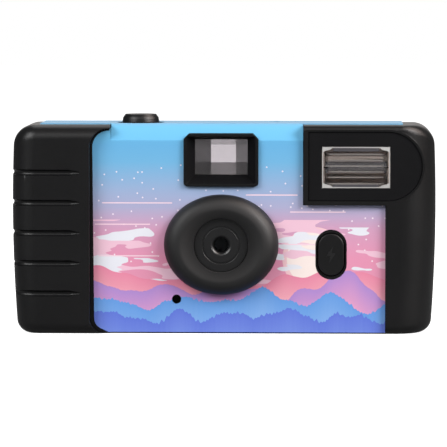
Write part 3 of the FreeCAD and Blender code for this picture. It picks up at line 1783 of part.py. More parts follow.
keep("flash_switch", make_switch(
    "flash_switch", "y", (flash_button_x, flash_switch_front, flash_button_z),
    (flash_button_x, flash_switch_front - over, flash_button_z),
    over + size("plunger_depth") + size("flash_travel") + fit))
keep("shutter_button", make_shutter_button())
keep("shutter_collar", make_shutter_collar())
keep("shutter_spring", make_shutter_spring())
keep("shutter_plunger", cylinder(
    "shutter_plunger", "z", (shutter_x, zero, plunger_foot), size("plunger_radius"),
    stem_foot - pin_gap - plunger_foot))
keep("shutter_switch", make_switch(
    "shutter_switch", "z", (shutter_x, zero, switch_foot),
    (shutter_x, zero, plunger_foot - bore_room), switch_top - plunger_foot + bore_room + over))
keep("shutter_board", box(
    "shutter_board",
    (shutter_x - size("shutter_board_width") / 2, -size("shutter_board_reach"),
     switch_foot - size("shutter_board_thickness")),
    (shutter_x + size("shutter_board_width") / 2, board_front - pin_gap, switch_foot)))
keep("lamp_window", cylinder(
    "lamp_window", "z", (lamp_x, lamp_y, light_top + fit), lamp_radius,
    cover_top - fit - light_top - fit))
keep("indicator_light", box(
    "indicator_light",
    (lamp_x - size("light_width") / 2, board_back, light_top - size("light_height")),
    (lamp_x + size("light_width") / 2, board_back + size("light_width") / 1.5, light_top)))
keep("cell", make_cell())
keep("cell_contacts", make_cell_contacts())
keep("cell_cradle", make_cell_cradle())
keep("power_slider", make_power_slider())
keep("power_lever", flat_block(
    "power_lever", slider_rest_x, slider_z, size("lever_width"), size("lever_width"),
    switch_rear - size("lever_root"), lever_back))
keep("power_switch", make_power_switch())
keep("port_board", plate(
    "port_board", port_board_front, port_board_front + size("board_thickness"),
    box_line(
        size("port_board_left"), size("port_board_foot"), port_mouth, size("port_board_top"))))
keep("charging_port", make_charging_port())
keep("card_socket", make_card_socket())
keep("memory_card", make_memory_card())
keep("port_door", make_port_door())
keep("door_pin", cylinder(
    "door_pin", "z", (pin_x, pin_y, door_foot - size("pin_seat")), size("pin_radius"),
    door_length + size("pin_seat") * 2))

document.recompute()
faulty = [
    thing.Name for thing in document.Objects
    if any(word in thing.State for word in ("Invalid", "Error"))]
if faulty:
    raise SystemExit(f"these objects failed: {faulty}")
for piece in pieces:
    if piece.Shape.isNull() or not piece.Shape.isValid():
        raise SystemExit(f"{piece.Label} has no valid shape")

os.makedirs("parts", exist_ok=True)
for piece in pieces:
    piece.Shape.exportStep(f"parts/{piece.Label}.step")
print(f"{len(pieces)} pieces written")
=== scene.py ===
import bpy
import bmesh
from math import cos, radians, sin
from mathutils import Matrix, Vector


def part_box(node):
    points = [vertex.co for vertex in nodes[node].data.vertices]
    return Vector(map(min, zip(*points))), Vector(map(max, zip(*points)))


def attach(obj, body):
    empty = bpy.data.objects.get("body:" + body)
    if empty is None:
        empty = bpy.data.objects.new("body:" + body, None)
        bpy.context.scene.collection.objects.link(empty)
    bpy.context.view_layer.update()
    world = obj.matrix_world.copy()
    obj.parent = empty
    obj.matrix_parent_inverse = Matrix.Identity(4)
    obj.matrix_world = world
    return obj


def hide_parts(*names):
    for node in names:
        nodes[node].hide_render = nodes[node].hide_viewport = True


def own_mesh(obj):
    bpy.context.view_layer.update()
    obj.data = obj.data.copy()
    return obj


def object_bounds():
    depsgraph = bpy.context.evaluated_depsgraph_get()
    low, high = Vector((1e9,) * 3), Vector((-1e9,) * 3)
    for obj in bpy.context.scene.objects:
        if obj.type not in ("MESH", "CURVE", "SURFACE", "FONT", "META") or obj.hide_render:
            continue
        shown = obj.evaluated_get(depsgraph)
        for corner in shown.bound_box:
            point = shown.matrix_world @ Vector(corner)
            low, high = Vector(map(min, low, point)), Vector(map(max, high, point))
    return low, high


# a flat digital camera with a printed cover, black grip and black flash block
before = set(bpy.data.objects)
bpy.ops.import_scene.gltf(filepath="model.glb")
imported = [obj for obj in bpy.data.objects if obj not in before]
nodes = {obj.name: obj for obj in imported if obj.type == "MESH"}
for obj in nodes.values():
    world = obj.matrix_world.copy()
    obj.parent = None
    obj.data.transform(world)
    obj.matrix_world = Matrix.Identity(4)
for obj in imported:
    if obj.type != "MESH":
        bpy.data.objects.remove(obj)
cadLow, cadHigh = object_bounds()
mm = 0.001


def grey(value):
    return (value, value, value, 1.0)


white = grey(1.0)


def screenColour(red, green, blue):
    # screen values of 0 to 255 become the shader's own light values
    parts = [value / 255 for value in (red, green, blue)]
    parts = [p / 12.92 if p <= 0.04045 else ((p + 0.055) / 1.055) ** 2.4 for p in parts]
    return (*parts, 1.0)


def show(obj):
    bpy.context.scene.collection.objects.link(obj)
    return obj


# camera, as the photograph was taken: far away with a long lens
cameraView = {
    # angles in degrees, distances in metres, the target, the sensor and a pixel in mm
    "turn": 1.8, "height": 4.1, "distance": 0.9, "target": (-0.06, -10.5, 30.0),
    "sensor": 36.0, "frame": 447, "pixel": 0.271, "clip": (0.01, 20.0),
}


def makeCamera(s):
    turn, height = radians(s["turn"]), radians(s["height"])
    back = Vector((sin(turn) * cos(height), -cos(turn) * cos(height), sin(height)))
    lensData = bpy.data.cameras.new("viewCamera")
    lensData.sensor_width = s["sensor"]
    lensData.lens = s["sensor"] * s["distance"] / (s["frame"] * s["pixel"] * mm)
    lensData.clip_start, lensData.clip_end = s["clip"]
    camera = show(bpy.data.objects.new("viewCamera", lensData))
    camera.location = Vector(s["target"]) * mm + back * s["distance"]
    camera.rotation_euler = (-back).to_track_quat("-Z", "Y").to_euler()
    bpy.context.scene.camera = camera


makeCamera(cameraView)
print("camera placed")


# shader helpers; a source is a node and one of its outputs
def node(tree, kind, **settings):
    # a lower-case setting is the node's own, a capitalised one is an input
    made = tree.nodes.new(kind)
    for key, value in settings.items():
        if key[0].islower():
            setattr(made, key, value)
        else:
            made.inputs[key.replace("_", " ")].default_value = value
    return made


def link(tree, source, socket):
    tree.links.new(source[0].outputs[source[1]], socket)


def objectPlace(tree):
    return (node(tree, "ShaderNodeTexCoord"), "Object")


def maths(tree, operation, first, second=0.0, third=0.0, clamp=False):
    # each value is a number or a source
    made = node(tree, "ShaderNodeMath", operation=operation, use_clamp=clamp)
    for place, value in enumerate((first, second, third)):
        if isinstance(value, tuple):
            link(tree, value, made.inputs[place])
        else:
            made.inputs[place].default_value = value
    return (made, 0)


def lengthOf(tree, vector):
    made = node(tree, "ShaderNodeVectorMath", operation="LENGTH")
    link(tree, vector, made.inputs[0])
    return (made, "Value")


def blendColours(tree, mask, first, second):
    # the first colour where the mask is 0, the second where it is 1; each is screen values or a source
    made = node(tree, "ShaderNodeMix", data_type="RGBA")
    link(tree, mask, made.inputs[0])
    for socket, colour in ((made.inputs[6], first), (made.inputs[7], second)):
        if isinstance(colour[0], bpy.types.Node):
            link(tree, colour, socket)
        else:
            socket.default_value = screenColour(*colour)
    return (made, 2)


def newMaterial(name, **plain):
    material = bpy.data.materials.new(name)
    material.use_nodes = True
    surface = material.node_tree.nodes["Principled BSDF"]
    for label, value in plain.items():
        surface.inputs[label.replace("_", " ")].default_value = value
    return material, material.node_tree, surface


# studio: a pale floor and soft boxes; only the eye sees the surroundings bright
studio = {
    "floorSize": 6.0, "surround": 0.10, "bounce": 0.28,
    "floorGlow": 0.80, "glowRise": 0.75, "floorPaint": 0.55, "floorRoughness": 0.9,
    # place, size, power, colour, and whether the box lights dull surfaces too
    "boxes": [
        ("highLeft", (-0.62, -0.55, 0.55), 0.55, 9.0, (1.0, 1.0, 1.0), True),
        ("highRight", (0.66, -0.50, 0.50), 0.50, 10.0, (1.0, 1.0, 1.0), True),
        ("frontFill", (0.0, -1.20, 0.95), 0.60, 3.0, (1.0, 1.0, 1.0), True),
        ("topBack", (0.0, 0.45, 0.70), 0.50, 1.6, (1.0, 1.0, 1.0), True),
        ("warmSheen", (0.62, -0.20, 0.62), 0.80, 15.0, (1.0, 0.84, 0.77), False),
        ("backSheen", (0.0, 1.60, 0.35), 1.20, 3.5, (1.0, 0.95, 0.92), False),
    ],
}


def mixForEye(tree, forLight, forEye, result):
    # the eye's shader also shows through clear parts, but never lights dull surfaces
    path = node(tree, "ShaderNodeLightPath")
    through = maths(
        tree, "SUBTRACT", (path, "Is Transmission Ray"), (path, "Diffuse Depth"), clamp=True)
    mix = node(tree, "ShaderNodeMixShader")
    link(tree, maths(tree, "MAXIMUM", (path, "Is Camera Ray"), through), mix.inputs["Fac"])
    link(tree, (forLight, 0), mix.inputs[1])
    link(tree, (forEye, 0), mix.inputs[2])
    link(tree, (mix, "Shader"), result.inputs["Surface"])


def makeFloor(s):
    shape = bmesh.new()
    bmesh.ops.create_grid(shape, x_segments=1, y_segments=1, size=s["floorSize"] / 2)
    mesh = bpy.data.meshes.new("floor")
    shape.to_mesh(mesh)
    shape.free()
    floor = show(bpy.data.objects.new("floor", mesh))
    paint, tree, surface = newMaterial(
        "paleFloor", Base_Color=grey(s["floorPaint"]), Roughness=s["floorRoughness"], Emission_Color=white)
    away = lengthOf(tree, objectPlace(tree))
    glow = maths(tree, "MULTIPLY_ADD", away, s["glowRise"], s["floorGlow"], clamp=True)
    link(tree, glow, surface.inputs["Emission Strength"])
    dim = node(tree, "ShaderNodeBsdfDiffuse", Color=grey(s["bounce"]))
    mixForEye(tree, dim, surface, tree.nodes["Material Output"])
    mesh.materials.append(paint)


def makeSurroundings(s):
    world = bpy.data.worlds.new("studio")
    bpy.context.scene.world = world
    world.use_nodes = True
    tree = world.node_tree
    near = tree.nodes["Background"]
    near.inputs["Color"].default_value = white
    near.inputs["Strength"].default_value = s["surround"]
    seen = node(tree, "ShaderNodeBackground", Color=white)
    mixForEye(tree, near, seen, tree.nodes["World Output"])


def makeBoxes(s):
    middle = (cadLow + cadHigh) / 2
    for name, place, size, power, colour, dull in s["boxes"]:
        lamp = bpy.data.lights.new(name, "AREA")
        lamp.shape, lamp.size, lamp.energy, lamp.color = "SQUARE", size, power, colour
        box = show(bpy.data.objects.new(name, lamp))
        box.location = place
        box.visible_diffuse = dull
        box.rotation_euler = (middle - Vector(place)).to_track_quat("-Z", "Y").to_euler()


makeFloor(studio)
makeSurroundings(studio)
makeBoxes(studio)
bpy.context.scene.view_settings.view_transform = "Standard"
print("studio lit")


# shared effects, each a node group
def newGroup(name, inputs, outputs):
    tree = bpy.data.node_groups.new(name, "ShaderNodeTree")
    for label, value in inputs:
        socket = tree.interface.new_socket(label, in_out="INPUT", socket_type="NodeSocketFloat")
        socket.default_value = value
    for label in outputs:
        tree.interface.new_socket(label, in_out="OUTPUT", socket_type="NodeSocketFloat")
    return tree, tree.nodes.new("NodeGroupInput"), tree.nodes.new("NodeGroupOutput")


def makeMouldedSkin():
    # fine moulded grain with a slow drift in gloss and tone
    tree, given, result = newGroup(
        "mouldedSkin",
        [("Grain Scale", 3200.0), ("Drift Scale", 60.0), ("Roughness", 0.45), ("Roughness Drift", 0.1)],
        ["Height", "Roughness", "Tone"])
    place = objectPlace(tree)
    grain = node(tree, "ShaderNodeTexNoise", Detail=3.0, Roughness=0.6)
    drift = node(tree, "ShaderNodeTexNoise", Detail=4.0, Roughness=0.55)
    for texture, label in ((grain, "Grain Scale"), (drift, "Drift Scale")):
        link(tree, place, texture.inputs["Vector"])
        link(tree, (given, label), texture.inputs["Scale"])
    centred = maths(tree, "SUBTRACT", (drift, 0), 0.5)
    spread = maths(tree, "MULTIPLY", centred, (given, "Roughness Drift"))
    link(tree, (grain, 0), result.inputs["Height"])
    link(tree, maths(tree, "ADD", spread, (given, "Roughness")), result.inputs["Roughness"])
    link(tree, (drift, 0), result.inputs["Tone"])
    return tree


# angles in degrees; only the noise above the threshold becomes a rub
scratchLook = {"stretch": (1.0, 1.0, 0.06), "lean": (0.0, 24.0, 12.0), "threshold": 0.62, "gain": 8.0}


def makeFineScratches(s):
    # hairline rubs, as on handled clear plastic and bare metal
    tree, given, result = newGroup(
        "fineScratches", [("Scale", 900.0), ("Amount", 0.5)], ["Mask", "Height"])
    stretch = node(
        tree, "ShaderNodeMapping", Scale=s["stretch"], Rotation=[radians(angle) for angle in s["lean"]])
    streak = node(tree, "ShaderNodeTexNoise", Detail=2.0, Roughness=0.5)
    link(tree, objectPlace(tree), stretch.inputs["Vector"])
    link(tree, (stretch, 0), streak.inputs["Vector"])
    link(tree, (given, "Scale"), streak.inputs["Scale"])
    cut = maths(tree, "SUBTRACT", (streak, 0), s["threshold"])
    held = maths(tree, "MAXIMUM", maths(tree, "MULTIPLY", cut, s["gain"]), 0.0)
    link(tree, maths(tree, "MULTIPLY", held, (given, "Amount")), result.inputs["Mask"])
    link(tree, (streak, 0), result.inputs["Height"])
    return tree


mouldedSkin, fineScratches = makeMouldedSkin(), makeFineScratches(scratchLook)


def addSkin(tree, surface, grain, roughness, drift):
    skin = node(
        tree, "ShaderNodeGroup", node_tree=mouldedSkin,
        Grain_Scale=grain, Roughness=roughness, Roughness_Drift=drift)
    link(tree, (skin, "Roughness"), surface.inputs["Roughness"])
    return skin


def addRubs(tree, scale, amount):
    return node(tree, "ShaderNodeGroup", node_tree=fineScratches, Scale=scale, Amount=amount)


def addTones(tree, surface, mask, dark, light):
    link(tree, blendColours(tree, mask, dark, light), surface.inputs["Base Color"])


def addBump(tree, surface, height, strength, distance):
    bump = node(tree, "ShaderNodeBump", Strength=strength, Distance=distance)
    link(tree, height, bump.inputs["Height"])
    link(tree, (bump, "Normal"), surface.inputs["Normal"])


# dark and light tone, roughness, grain scale, grain depth in metres, specular level, drift in roughness
plastics = {
    "caseBlack": ((10, 10, 11), (14, 14, 15), 0.37, 3000.0, 0.00004, 0.26, 0.12),
    "bezelBlack": ((15, 15, 16), (20, 20, 21), 0.52, 4200.0, 0.00003, 0.33, 0.12),
    "discBlack": ((15, 15, 16), (21, 21, 22), 0.34, 4200.0, 0.00003, 0.42, 0.12),
    "panelBlack": ((7, 7, 9), (11, 11, 13), 0.46, 4200.0, 0.00003, 0.15, 0.12),
    "deepBlack": ((8, 8, 9), (12, 12, 13), 0.60, 4200.0, 0.00003, 0.12, 0.12),
    "tunnelBlack": ((16, 12, 12), (24, 18, 18), 0.09, 2600.0, 0.0, 0.03, 0.02),
    "greyPlastic": ((86, 86, 88), (100, 100, 102), 0.50, 3000.0, 0.00004, 0.40, 0.12),
    "chipBlack": ((30, 30, 32), (40, 40, 42), 0.60, 5200.0, 0.00003, 0.40, 0.12),
    # painted highlight: light grey on the flash window's lip and corner facets, where its polished edges
    # catch the light
    "flashFrost": ((136, 134, 132), (196, 194, 192), 0.25, 2600.0, 0.00004, 0.50, 0.12),
    # painted highlight: light grey crests on the flash window's ribs
    "ribGlint": ((84, 76, 74), (150, 146, 142), 0.25, 2600.0, 0.00003, 0.50, 0.12),
    # painted shade: mid-grey bars along the flash window's top and foot
    "ribShade": ((58, 56, 60), (78, 76, 80), 0.25, 2600.0, 0.00003, 0.50, 0.12),
}
plasticBump = 0.35

# dark and light tone, roughness, amount of rubs, bump, drift in roughness
metals = {
    "steel": ((168, 168, 170), (196, 196, 198), 0.32, 0.5, 0.15, 0.15),
    "mirrorMetal": ((206, 200, 196), (226, 220, 214), 0.16, 0.3, 0.15, 0.15),
    "flashMirror": ((144, 134, 132), (172, 164, 160), 0.30, 0.1, 0.0, 0.03),
}
metalSkin = {"grain": 5200.0, "rubs": 1500.0, "depth": 0.00004}

# tint, roughness, index of refraction, amount of rubs
clears = {
    "clearPlastic": ((214, 210, 213), 0.01, 1.40, 0.04),
    "coatedGlass": ((66, 70, 82), 0.01, 1.20, 0.05),
    "lensGlass": ((150, 158, 172), 0.01, 1.52, 0.05),
    "flashClear": ((238, 234, 230), 0.0, 1.22, 0.01),
}
clearRubs = 1100.0


def mouldedPlastic(name, dark, light, roughness, grain, depth, level, drift):
    material, tree, surface = newMaterial(name, Specular_IOR_Level=level)
    skin = addSkin(tree, surface, grain, roughness, drift)
    addTones(tree, surface, (skin, "Tone"), dark, light)
    addBump(tree, surface, (skin, "Height"), plasticBump, depth)
    return material


def bareMetal(name, dark, light, roughness, scratched, bump, drift):
    material, tree, surface = newMaterial(name, Metallic=1.0)
    skin = addSkin(tree, surface, metalSkin["grain"], roughness, drift)
    rubs = addRubs(tree, metalSkin["rubs"], scratched)
    addTones(tree, surface, (skin, "Tone"), dark, light)
    addBump(tree, surface, (rubs, "Height"), bump, metalSkin["depth"])
    return material


def clearPart(name, tint, roughness, refraction, scratched):
    material, tree, surface = newMaterial(
        name, Base_Color=screenColour(*tint), Transmission_Weight=1.0, IOR=refraction)
    rubs = addRubs(tree, clearRubs, scratched)
    link(tree, maths(tree, "ADD", (rubs, "Mask"), roughness), surface.inputs["Roughness"])
    return material


finishes = {}
for makeFinish, looks in ((mouldedPlastic, plastics), (bareMetal, metals), (clearPart, clears)):
    for name, look in looks.items():
        finishes[name] = makeFinish(name, *look)


# the bezel's dish is duller towards the lens disc; reach in mm from the disc's middle
dishDullness = {"near": 7.5, "far": 12.5, "extra": 0.48}


def dullDish(tree, s):
    gloss = tree.nodes["Principled BSDF"].inputs["Roughness"]
    skinLink = gloss.links[0]
    skin = (skinLink.from_node, skinLink.from_socket.name)
    low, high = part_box("lens_disc")
    centred = node(
        tree, "ShaderNodeMapping", Scale=(1.0, 0.0, 1.0),
        Location=(-(low[0] + high[0]) / 2, 0.0, -(low[2] + high[2]) / 2))
    link(tree, objectPlace(tree), centred.inputs["Vector"])
    fade = node(
        tree, "ShaderNodeMapRange", From_Min=s["near"] * mm, From_Max=s["far"] * mm,
        To_Min=s["extra"], To_Max=0.0)
    link(tree, lengthOf(tree, (centred, 0)), fade.inputs["Value"])
    link(tree, maths(tree, "ADD", (fade, "Result"), skin), gloss)


dullDish(finishes["bezelBlack"].node_tree, dishDullness)


# skins here are grain scale, roughness and its drift; bumps are strength and distance in metres
boardLook = {
    "tracks": 420.0, "gap": 0.018, "mask": (24, 82, 48), "maskPatch": (28, 92, 54), "track": (62, 128, 78),
    "level": 0.5, "skin": (2600.0, 0.35, 0.1), "bump": (0.2, 0.00003),
}
cellLook = {
    "split": 36.0, "lower": (52, 78, 122), "upper": (196, 190, 172), "coat": 0.4,
    "skin": (1800.0, 0.3, 0.1), "bump": (0.1, 0.00003),
}
counterLook = {
    "dark": (138, 146, 128), "light": (150, 158, 140), "level": 0.4, "skin": (6000.0, 0.3, 0.05),
}


def makeBoardGreen(s):
    # solder mask with tracks that shine through it
    material, tree, surface = newMaterial("boardGreen", Specular_IOR_Level=s["level"])
    tracks = node(
        tree, "ShaderNodeTexBrick", Scale=s["tracks"], Mortar_Size=s["gap"], Color1=screenColour(*s["mask"]),
        Color2=screenColour(*s["maskPatch"]), Mortar=screenColour(*s["track"]))
    link(tree, objectPlace(tree), tracks.inputs["Vector"])
    link(tree, (tracks, "Color"), surface.inputs["Base Color"])
    addSkin(tree, surface, *s["skin"])
    addBump(tree, surface, (tracks, "Fac"), *s["bump"])
    return material


def makeCellJacket(s):
    # shrink sleeve with plain coloured bands along the cell
    material, tree, surface = newMaterial("cellJacket", Coat_Weight=s["coat"])
    split = node(tree, "ShaderNodeSeparateXYZ")
    link(tree, objectPlace(tree), split.inputs["Vector"])
    band = maths(tree, "GREATER_THAN", (split, 2), s["split"] * mm)
    addTones(tree, surface, band, s["lower"], s["upper"])
    skin = addSkin(tree, surface, *s["skin"])
    addBump(tree, surface, (skin, "Height"), *s["bump"])
    return material


def makeCounterFace(s):
    # pale green-grey liquid crystal behind the counter's window
    material, tree, surface = newMaterial("counterFace", Specular_IOR_Level=s["level"])
    skin = addSkin(tree, surface, *s["skin"])
    addTones(tree, surface, (skin, "Tone"), s["dark"], s["light"])
    return material


finishes["boardGreen"] = makeBoardGreen(boardLook)
finishes["cellJacket"] = makeCellJacket(cellLook)
finishes["counterFace"] = makeCounterFace(counterLook)
print("finishes mixed")


# print on the wrap-round cover: blue sky, low sun, mist and rolling hills; lengths in mm
printDesign = {
    # share of the sky's height, and the colour there
    "sky": [
        (0.0, (150, 140, 220)), (0.20, (228, 152, 178)), (0.36, (230, 150, 180)),
        (0.50, (212, 160, 190)), (0.60, (176, 174, 206)), (0.70, (152, 178, 214)),
        (0.82, (114, 180, 222)), (0.90, (106, 178, 224)), (0.94, (108, 184, 226)),
        (0.985, (112, 188, 228)), (1.0, (126, 180, 214)),
    ],
    "skyTop": 57.0, "inkStrength": 0.785,
    "sparkle": 260.0, "sparkleSize": 0.055, "sparkleBand": (19.0, 46.0), "sparkleColour": (246, 232, 240),
    "sun": (24.5, 20.5, 7.4), "sunColour": (248, 232, 226), "rimReach": 1.16, "sunRim": (244, 200, 206),
    # noise scale across and upward, threshold, lowest and highest place, colour
    "mist": [
        (52.0, 205.0, 0.575, 13.0, 31.0, (240, 196, 214)),
        (60.0, 250.0, 0.60, 12.0, 29.0, (232, 232, 240)),
    ],
    "mistShift": (3.4, 0.0, 7.7),
    # height, left and right end
    "lines": [
        (35.4, -33.0, -14.0), (29.6, -35.0, -20.0), (33.0, 18.0, 33.0), (24.2, 16.5, 27.0),
        (37.6, 6.0, 20.0), (21.0, -34.0, -17.5),
    ],
    "lineColour": (246, 214, 226), "lineThickness": 0.3,
    # noise scale, offset, height of the crest, swing, trees, colour and the mist at its foot
    "hills": [
        (46.0, 3.1, 15.6, 17.0, 0.0, (232, 138, 166), (244, 176, 186)),
        (58.0, 11.7, 12.2, 15.0, 0.3, (176, 140, 208), (226, 160, 200)),
        (64.0, 23.9, 8.8, 13.0, 0.9, (104, 158, 226), (136, 178, 234)),
        (80.0, 37.2, 4.2, 9.0, 1.2, (100, 122, 218), (124, 150, 228)),
    ],
    "crestDetail": 1.5, "treeScale": 1400.0, "mistDepth": 9.0,
    "level": 0.20, "skin": (1500.0, 0.42, 0.12), "bump": (0.06, 0.00003),
}


def within(tree, value, low, high):
    return maths(
        tree, "MULTIPLY", maths(tree, "GREATER_THAN", value, low), maths(tree, "LESS_THAN", value, high))


def drawSky(tree, s, upward):
    ramp = node(tree, "ShaderNodeValToRGB")
    link(tree, maths(tree, "DIVIDE", upward, s["skyTop"]), ramp.inputs["Fac"])
    stops = ramp.color_ramp.elements
    while len(stops) < len(s["sky"]):
        stops.new(0.5)
    for stop, (height, colour) in zip(stops, s["sky"]):
        stop.position, stop.color = height, screenColour(*colour)
    return (ramp, 0)


def drawSparkles(tree, s, split, upward, under):
    flat = node(tree, "ShaderNodeCombineXYZ")
    link(tree, (split, 0), flat.inputs[0])
    link(tree, (split, 2), flat.inputs[1])
    cells = node(tree, "ShaderNodeTexVoronoi", voronoi_dimensions="2D", Scale=s["sparkle"])
    link(tree, (flat, 0), cells.inputs["Vector"])
    dots = maths(tree, "LESS_THAN", (cells, "Distance"), s["sparkleSize"])
    mask = maths(tree, "MULTIPLY", dots, within(tree, upward, *s["sparkleBand"]))
    return blendColours(tree, mask, under, s["sparkleColour"])


def drawSun(tree, s, across, upward, under):
    # a plain disc with a rim
    sunX, sunZ, sunRadius = s["sun"]
    aside, above = maths(tree, "SUBTRACT", across, sunX), maths(tree, "SUBTRACT", upward, sunZ)
    squared = maths(
        tree, "ADD", maths(tree, "MULTIPLY", aside, aside), maths(tree, "MULTIPLY", above, above))
    for reach, colour in ((sunRadius * s["rimReach"], s["sunRim"]), (sunRadius, s["sunColour"])):
        under = blendColours(tree, maths(tree, "LESS_THAN", squared, reach ** 2), under, colour)
    return under


def drawMist(tree, s, place, upward, under):
    # banks of stretched noise, cut off sharply
    for wide, tall, threshold, low, high, colour in s["mist"]:
        stretch = node(tree, "ShaderNodeMapping", Scale=(wide, 0.0, tall), Location=s["mistShift"])
        bank = node(tree, "ShaderNodeTexNoise", Scale=1.0, Detail=2.0, Roughness=0.5)
        link(tree, place, stretch.inputs["Vector"])
        link(tree, (stretch, 0), bank.inputs["Vector"])
        thick = maths(tree, "GREATER_THAN", (bank, 0), threshold)
        mask = maths(tree, "MULTIPLY", thick, within(tree, upward, low, high))
        under = blendColours(tree, mask, under, colour)
    return under


def drawLines(tree, s, across, upward, under):
    for height, left, right in s["lines"]:
        thin = within(tree, upward, height, height + s["lineThickness"])
        mask = maths(tree, "MULTIPLY", thin, within(tree, across, left, right))
        under = blendColours(tree, mask, under, s["lineColour"])
    return under


def lineNoise(tree, across, scale, offset, detail):
    # a smooth random line along the print
    texture = node(tree, "ShaderNodeTexNoise", noise_dimensions="1D", Scale=1.0, Detail=detail)
    link(tree, maths(tree, "MULTIPLY_ADD", across, scale * mm, offset), texture.inputs["W"])
    return (texture, 0)


def drawHills(tree, s, across, upward, under):
    # the far ones first, paler where mist lies at their foot
    for scale, offset, height, swing, trees, colour, foot in s["hills"]:
        wave = lineNoise(tree, across, scale, offset, s["crestDetail"])
        crest = maths(tree, "MULTIPLY_ADD", wave, swing, height - swing / 2)
        teeth = lineNoise(tree, across, s["treeScale"], offset, 0.0)
        edge = maths(tree, "MULTIPLY_ADD", teeth, trees, crest)
        sunk = maths(tree, "SUBTRACT", edge, upward)
        tone = blendColours(tree, maths(tree, "DIVIDE", sunk, s["mistDepth"], clamp=True), colour, foot)
        under = blendColours(tree, maths(tree, "LESS_THAN", upward, edge), under, tone)
    return under


def makePrintFilm(s):
    material, tree, surface = newMaterial("printFilm", Specular_IOR_Level=s["level"])
    place = objectPlace(tree)
    split = node(tree, "ShaderNodeSeparateXYZ")
    link(tree, place, split.inputs["Vector"])
    across, upward = (maths(tree, "MULTIPLY", (split, axis), 1 / mm) for axis in (0, 2))
    shown = drawSky(tree, s, upward)
    shown = drawSparkles(tree, s, split, upward, shown)
    shown = drawSun(tree, s, across, upward, shown)
    shown = drawMist(tree, s, place, upward, shown)
    shown = drawLines(tree, s, across, upward, shown)
    shown = drawHills(tree, s, across, upward, shown)
    ink = node(tree, "ShaderNodeVectorMath", operation="SCALE", Scale=s["inkStrength"])
    link(tree, shown, ink.inputs[0])
    link(tree, (ink, 0), surface.inputs["Base Color"])
    skin = addSkin(tree, surface, *s["skin"])
    addBump(tree, surface, (skin, "Height"), *s["bump"])
    return material


finishes["printFilm"] = makePrintFilm(printDesign)
print("print designed")


# which finish each piece of the frame has
finishOf = {
    "caseBlack": [
        "front_shell", "back_shell", "port_door", "power_slider", "flash_button", "shutter_button",
        "shutter_collar"],
    "bezelBlack": ["lens_bezel", "eyepiece_frame"],
    "discBlack": ["lens_disc"],
    "panelBlack": ["flash_panel", "viewfinder_bezel"],
    "deepBlack": ["lens_barrel", "lens_holder", "microphone"],
    "tunnelBlack": ["viewfinder_tunnel"],
    "printFilm": ["printed_cover"],
    "clearPlastic": ["counter_window", "viewfinder_lens", "eyepiece_lens", "lamp_window"],
    "flashClear": ["flash_window"],
    "coatedGlass": ["lens_window"],
    "lensGlass": ["front_lens_element", "rear_lens_element", "infrared_filter", "flash_tube"],
    "steel": [
        "case_screws", "board_screws", "flash_electrodes", "shutter_spring", "cell_contacts",
        "power_switch", "charging_port", "card_socket", "door_pin"],
    "flashMirror": ["flash_reflector"],
    "mirrorMetal": ["flash_capacitor"],
    "boardGreen": ["main_board", "flash_board", "shutter_board", "port_board"],
    "chipBlack": [
        "image_sensor", "image_processor", "memory_chip", "buzzer", "flash_transformer",
        "flash_switch", "shutter_switch", "memory_card"],
    "greyPlastic": [
        "display_holder", "flash_plunger", "shutter_plunger", "indicator_light", "cell_cradle",
        "power_lever"],
    "cellJacket": ["cell"],
    "counterFace": ["counter_display"],
}
finishByNode = {name: finishes[finish] for finish, names in finishOf.items() for name in names}
for name, obj in nodes.items():
    obj.data.materials.clear()
    obj.data.materials.append(finishByNode[name])


# rounded copies of the frame's own pieces, where a facet or a bare edge would show:
# body, slot and the width of the rounding in mm
roundedPieces = {
    "front_shell": ("camera", "black_plastic", 0.12), "back_shell": ("camera", "black_plastic", 0.12),
    "port_door": ("side_door", "black_plastic", 0.1), "eyepiece_frame": ("camera", "black_plastic", 0.15),
    "viewfinder_bezel": ("camera", "black_plastic", 0.1), "flash_panel": ("camera", "black_plastic", 0.08),
    "flash_button": ("flash_key", "black_plastic", 0.3), "power_slider": ("power_key", "black_plastic", 0.1),
    "shutter_button": ("shutter", "black_plastic", 0.0), "shutter_collar": ("camera", "black_plastic", 0.1),
    "lens_bezel": ("camera", "black_plastic", 0.12), "lens_disc": ("camera", "black_plastic", 0.08),
    "flash_window": ("camera", "clear_plastic", 0.14), "shutter_spring": ("camera", "steel", 0.0),
}

# edges that are rounded more: where they lie and by how much, in mm
softEdges = {
    "front_shell": [
        ((-36.5, -13.56, 2.9), (-32.6, -13.44, 52.4), 1.1),
        ((21.5, -12.1, 35.0), (21.7, -10.1, 35.2), 0.9),
    ],
}

# distances in mm, angles in degrees
rounding = {
    "merge": 0.002, "flat": 0.2, "softAngle": 40, "softSegments": 5, "sharp": 28, "edgeAngle": 35,
    "edgeSegments": 2,
}


def softenEdges(shape, low, high, offset, s):
    def inside(vert):
        return all(least <= place / mm <= most for least, place, most in zip(low, vert.co, high))

    edges = [
        edge for edge in shape.edges
        if all(inside(vert) for vert in edge.verts) and edge.calc_face_angle(0.0) > radians(s["softAngle"])]
    bmesh.ops.bevel(
        shape, geom=edges, offset=offset * mm, offset_type="OFFSET", segments=s["softSegments"], profile=0.5,
        affect="EDGES", clamp_overlap=True, material=-1)
    print("softened", len(edges), "edges")


